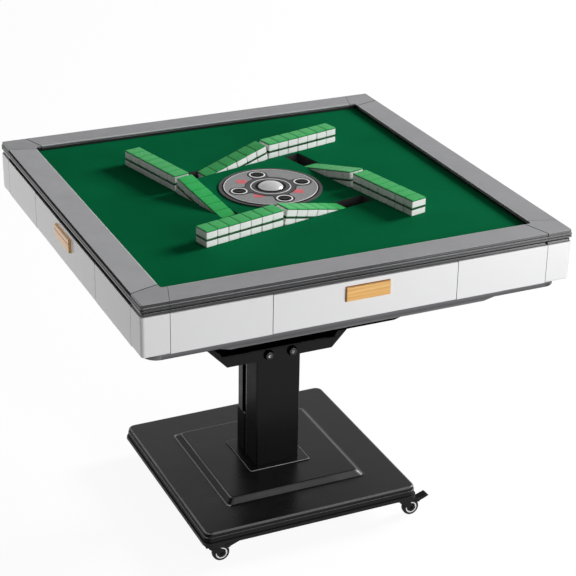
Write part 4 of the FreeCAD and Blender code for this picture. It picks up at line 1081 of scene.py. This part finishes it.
def modelPan():  # the flange is cut back behind the casing, the wells are a little longer and shallower
    obj = copyNode("bottom_pan")
    endLow, endHigh = pan["wellEnd"]
    for turn in range(4):
        along = Matrix.Rotation(radians(90 * turn), 3, "Z")
        outward = along @ Vector((1, 0, 0))
        splitAt(obj, outward * pan["flange"], outward, clear_outer=True, use_fill=True)
        for sign in (-1, 1):
            def wellEnd(vertex):
                place = along.inverted() @ vertex.co * 1000
                return place.z < pan["wellTop"] and endLow < sign * place.y < endHigh and place.x > pan["wellInner"]
            moveCorners(obj, wellEnd, along @ Vector((0, sign * pan["spread"], 0)))
    low, high = pan["floorSpan"]
    moveCorners(obj, lambda v: low < v.co.z * 1000 < high, (0, 0, pan["rise"]))
    onWall = lambda v: low < v.co.z * 1000 < pan["wallTop"] and max(abs(v.co.x), abs(v.co.y)) * 1000 > pan["wallInner"]
    edit(obj, "VERT", onWall, bpy.ops.transform.resize, value=(pan["widen"], pan["widen"], 1),
         center_override=(0, 0, 0.65))
    moveCorners(obj, lambda v: abs(v.co.z * 1000 - pan["plate"]) < 0.4, (0, 0, -pan["drop"]))
    stripTop = pan["floor"] + pan["edge"]
    splitAt(obj, (0, 0, stripTop), (0, 0, 1))
    paint(obj, "panGrey")
    # painted shade: the hopper and the undersides are painted near black, the hopper's front faces black
    paint(obj, "hopperBlack", lambda p, n: p.z < pan["hopperTop"] or n.z < -0.9)
    paint(obj, "cavityBlack", lambda p, n: p.z < pan["hopperTop"] and n.y < -0.5)
    # painted highlight: a lighter strip along the lower edge of the pan's wall
    return paint(obj, "railGrey", lambda p, n: pan["floor"] < p.z < stripTop and abs(n.z) < 0.6)


stand(modelPan(), "bottom_pan")
yoke = {"top": 413, "lower": 9.5, "widen": 21, "ease": 1.0, "plate": 57.5}


def modelCradle():  # the opening above the bolts is a little larger
    obj = copyNode("yoke_cradle")
    for sign in (-1, 1):
        atTop = lambda v: abs(v.co.z * 1000 - yoke["top"]) < 0.5 and v.co.x * sign > 0
        moveCorners(obj, atTop, (sign * yoke["widen"], 0, -yoke["lower"]))
    easeEdges(obj, yoke["ease"])
    # painted shade: the inside of the trough between the plates is painted black
    return paint(obj, "cavityBlack", lambda p, n: abs(p.y) < yoke["plate"])


stand(modelCradle(), "yoke_cradle")

onSide = turned(90, "X")
bolt = {"x": 29, "z": 391, "front": -64, "rear": 64, "washer": 12, "washerThick": 2, "washerEase": 0.6, "head": 9,
        "headHigh": 7, "socket": 3.6, "socketDeep": 4, "shank": 6, "sunk": 0.5, "nut": 10.2, "nutHigh": 7}


def modelBolt():
    wide, thick, ease, shankWide = bolt["washer"], bolt["washerThick"], bolt["washerEase"], bolt["shank"]
    outline = ((shankWide, 0), (wide, 0), (wide, thick - ease), (wide - ease, thick), (shankWide, thick))
    # painted shade: the washer is painted black, so that it shows as a dark recess
    washer = paint(addSpun("washer", outline), "cavityBlack")
    top, far, end = bolt["head"], thick + bolt["headHigh"], bolt["front"] - bolt["rear"]
    outline = ((0, thick), (top, thick), (top, far - 1.4), (top - 0.5, far - 0.4), (top - 1.4, far), (0, far))
    head = addSpun("head", outline)
    cutAway(head, addRound("socketCutter", bolt["socket"], (far - bolt["socketDeep"], far + 2), 6))
    paint(head, "boltBlack")
    # painted glint: the inside of the socket takes the bright chrome finish
    paint(head, "chromeRing", lambda p, n: p.xy.length < bolt["socket"] - 0.2 and p.z > 3)
    shank = paint(addRound("shank", shankWide, (end, bolt["sunk"]), 32), "boltBlack")
    nut = paint(addRound("nut", bolt["nut"], (end - bolt["nutHigh"], end), 6), "boltBlack")
    bevelEdges(shank, 0.5, 2, lying)
    bevelEdges(nut, 0.7, 2, lying)
    return joined("boltPiece", washer, head, shank, nut)


boltPiece = modelBolt()
boltPlace = shift(0, bolt["front"], bolt["z"]) @ onSide
bolts = [copyOf(boltPiece, f"bolt_{index}", shift(x) @ boltPlace) for index, x in enumerate(both(bolt["x"]))]
stand(joined("cradle_bolts", *bolts), "yoke_bolts")
discard(boltPiece)

castor = {"place": 238.5, "trail": 20, "radius": 20,
          "angles": {"front_left": 0, "front_right": 0, "back_right": 110, "back_left": 5}}
wheel = {  # radius and height of one half, steps, finish
    "tyre": ([(14.2, -7.6), (17.2, -7.6), (18.8, -6.6), (19.7, -4.6), (20, -2)], 56, "tyreBlack"),
    "wheelRing": ([(10.4, -6.2), (11.2, -7.2), (13.6, -7.4), (14.3, -6.8)], 56, "chromeRing"),
    "wheelHub": ([(3.1, -5.6), (6.0, -6.6), (7.4, -6.4), (8.2, -5.2), (10.5, -5.2)], 40, "forkBlack"),
}


def modelWheel():
    pieces = []
    for name, (half, steps, finish) in wheel.items():
        profile = half + [(radius, -height) for radius, height in reversed(half)]
        pieces.append(paint(addSpun(name, profile, steps), finish))
    return joined("wheelPiece", *pieces)


axleNut = {"radius": 4.6, "span": (12.4, 14.2), "ease": 0.4,
           "end": ((0, 12.4), (2.6, 12.4), (2.6, 14.9), (2.1, 15.4), (0, 15.4))}


def modelAxleNut():
    nut = addRound("axleNut", axleNut["radius"], axleNut["span"], 6)
    bevelEdges(nut, axleNut["ease"], 2, lying)
    one = paint(joined("axleNutPair", nut, addSpun("axleEnd", axleNut["end"], 24)), "forkBlack")
    return joined("axlePiece", one, copyOf(one, "axleNutOther", turned(180, "X")))


fork = {"cheek": (9.5, 12.5), "crown": (-12, 18), "crownZ": (41.5, 44), "inside": 9.6, "ease": 0.5, "axle": (20, 20),
        "eye": 6.5, "start": [(-12, 44), (-12, 41)],
        "arm": [(15, 38), (31, 38), (33, 34.5), (38.5, 34.5), (39, 36), (39, 44)],
        "pins": {"axlePin": (3, 20, 20), "pedalPin": (1.5, 36, 37)}, "pinEase": 0.2}


def modelFork():
    x, z = fork["axle"]
    turns = [radians(turn) for turn in range(215, 381, 15)]
    eye = [(x + fork["eye"] * cos(turn), z + fork["eye"] * sin(turn)) for turn in turns]
    pieces = []
    for sign in (-1, 1):
        span = sorted(sign * value for value in fork["cheek"])
        cheek = addPlate(f"cheek{sign}", fork["start"] + eye + fork["arm"], span)
        bevelEdges(cheek, fork["ease"], 2, lambda e: abs(e.verts[0].co.z - e.verts[1].co.z) < 0.0001)
        pieces.append(placed(cheek, onSide))
    crown = addBlock("crown", fork["crown"], both(fork["inside"]), fork["crownZ"])
    bevelEdges(crown, fork["ease"], 2, upright)
    pieces.append(crown)
    for name, (radius, x, z) in fork["pins"].items():
        pin = addRound(name, radius, both(fork["inside"]), 24)
        bevelEdges(pin, fork["pinEase"], 1, lying)
        pieces.append(placed(pin, shift(x, 0, z) @ onSide))
    return paint(joined("forkPiece", *pieces), "forkBlack")


wheelPiece, axlePiece, forkPiece = modelWheel(), modelAxleNut(), modelFork()
for name, (x, y) in corners.items():
    swing = shift(x * castor["place"], y * castor["place"]) @ turned(castor["angles"][name], "Z")
    axle = swing @ shift(castor["trail"], 0, castor["radius"]) @ onSide
    stand(copyOf(wheelPiece, f"wheel_{name}", axle), f"castor_wheel_{name}")
    hand(copyOf(axlePiece, f"axle_nuts_{name}", axle), f"castor_{name}", "fork_black")
    stand(copyOf(forkPiece, f"fork_{name}", swing), f"castor_fork_{name}")
    if name.startswith("front"):
        dressNode(f"brake_pedal_{name}", 0.8)
discard(wheelPiece, axlePiece, forkPiece)
print("pedestal and castors modelled")

# the key lamp rakes over the top, and leaves the white casing to the softer lamps
spared = bpy.data.collections.new("sparedFromKey")
for name in ["casing_panels", "casing_posts"] + [f"{kind}_{side}" for kind in ("drawer", "handle") for side in sides]:
    spared.objects.link(bpy.data.objects[name])
bpy.data.objects["keyRight"].light_linking.receiver_collection = spared
for entry in spared.collection_objects:
    entry.light_linking.link_state = "EXCLUDE"
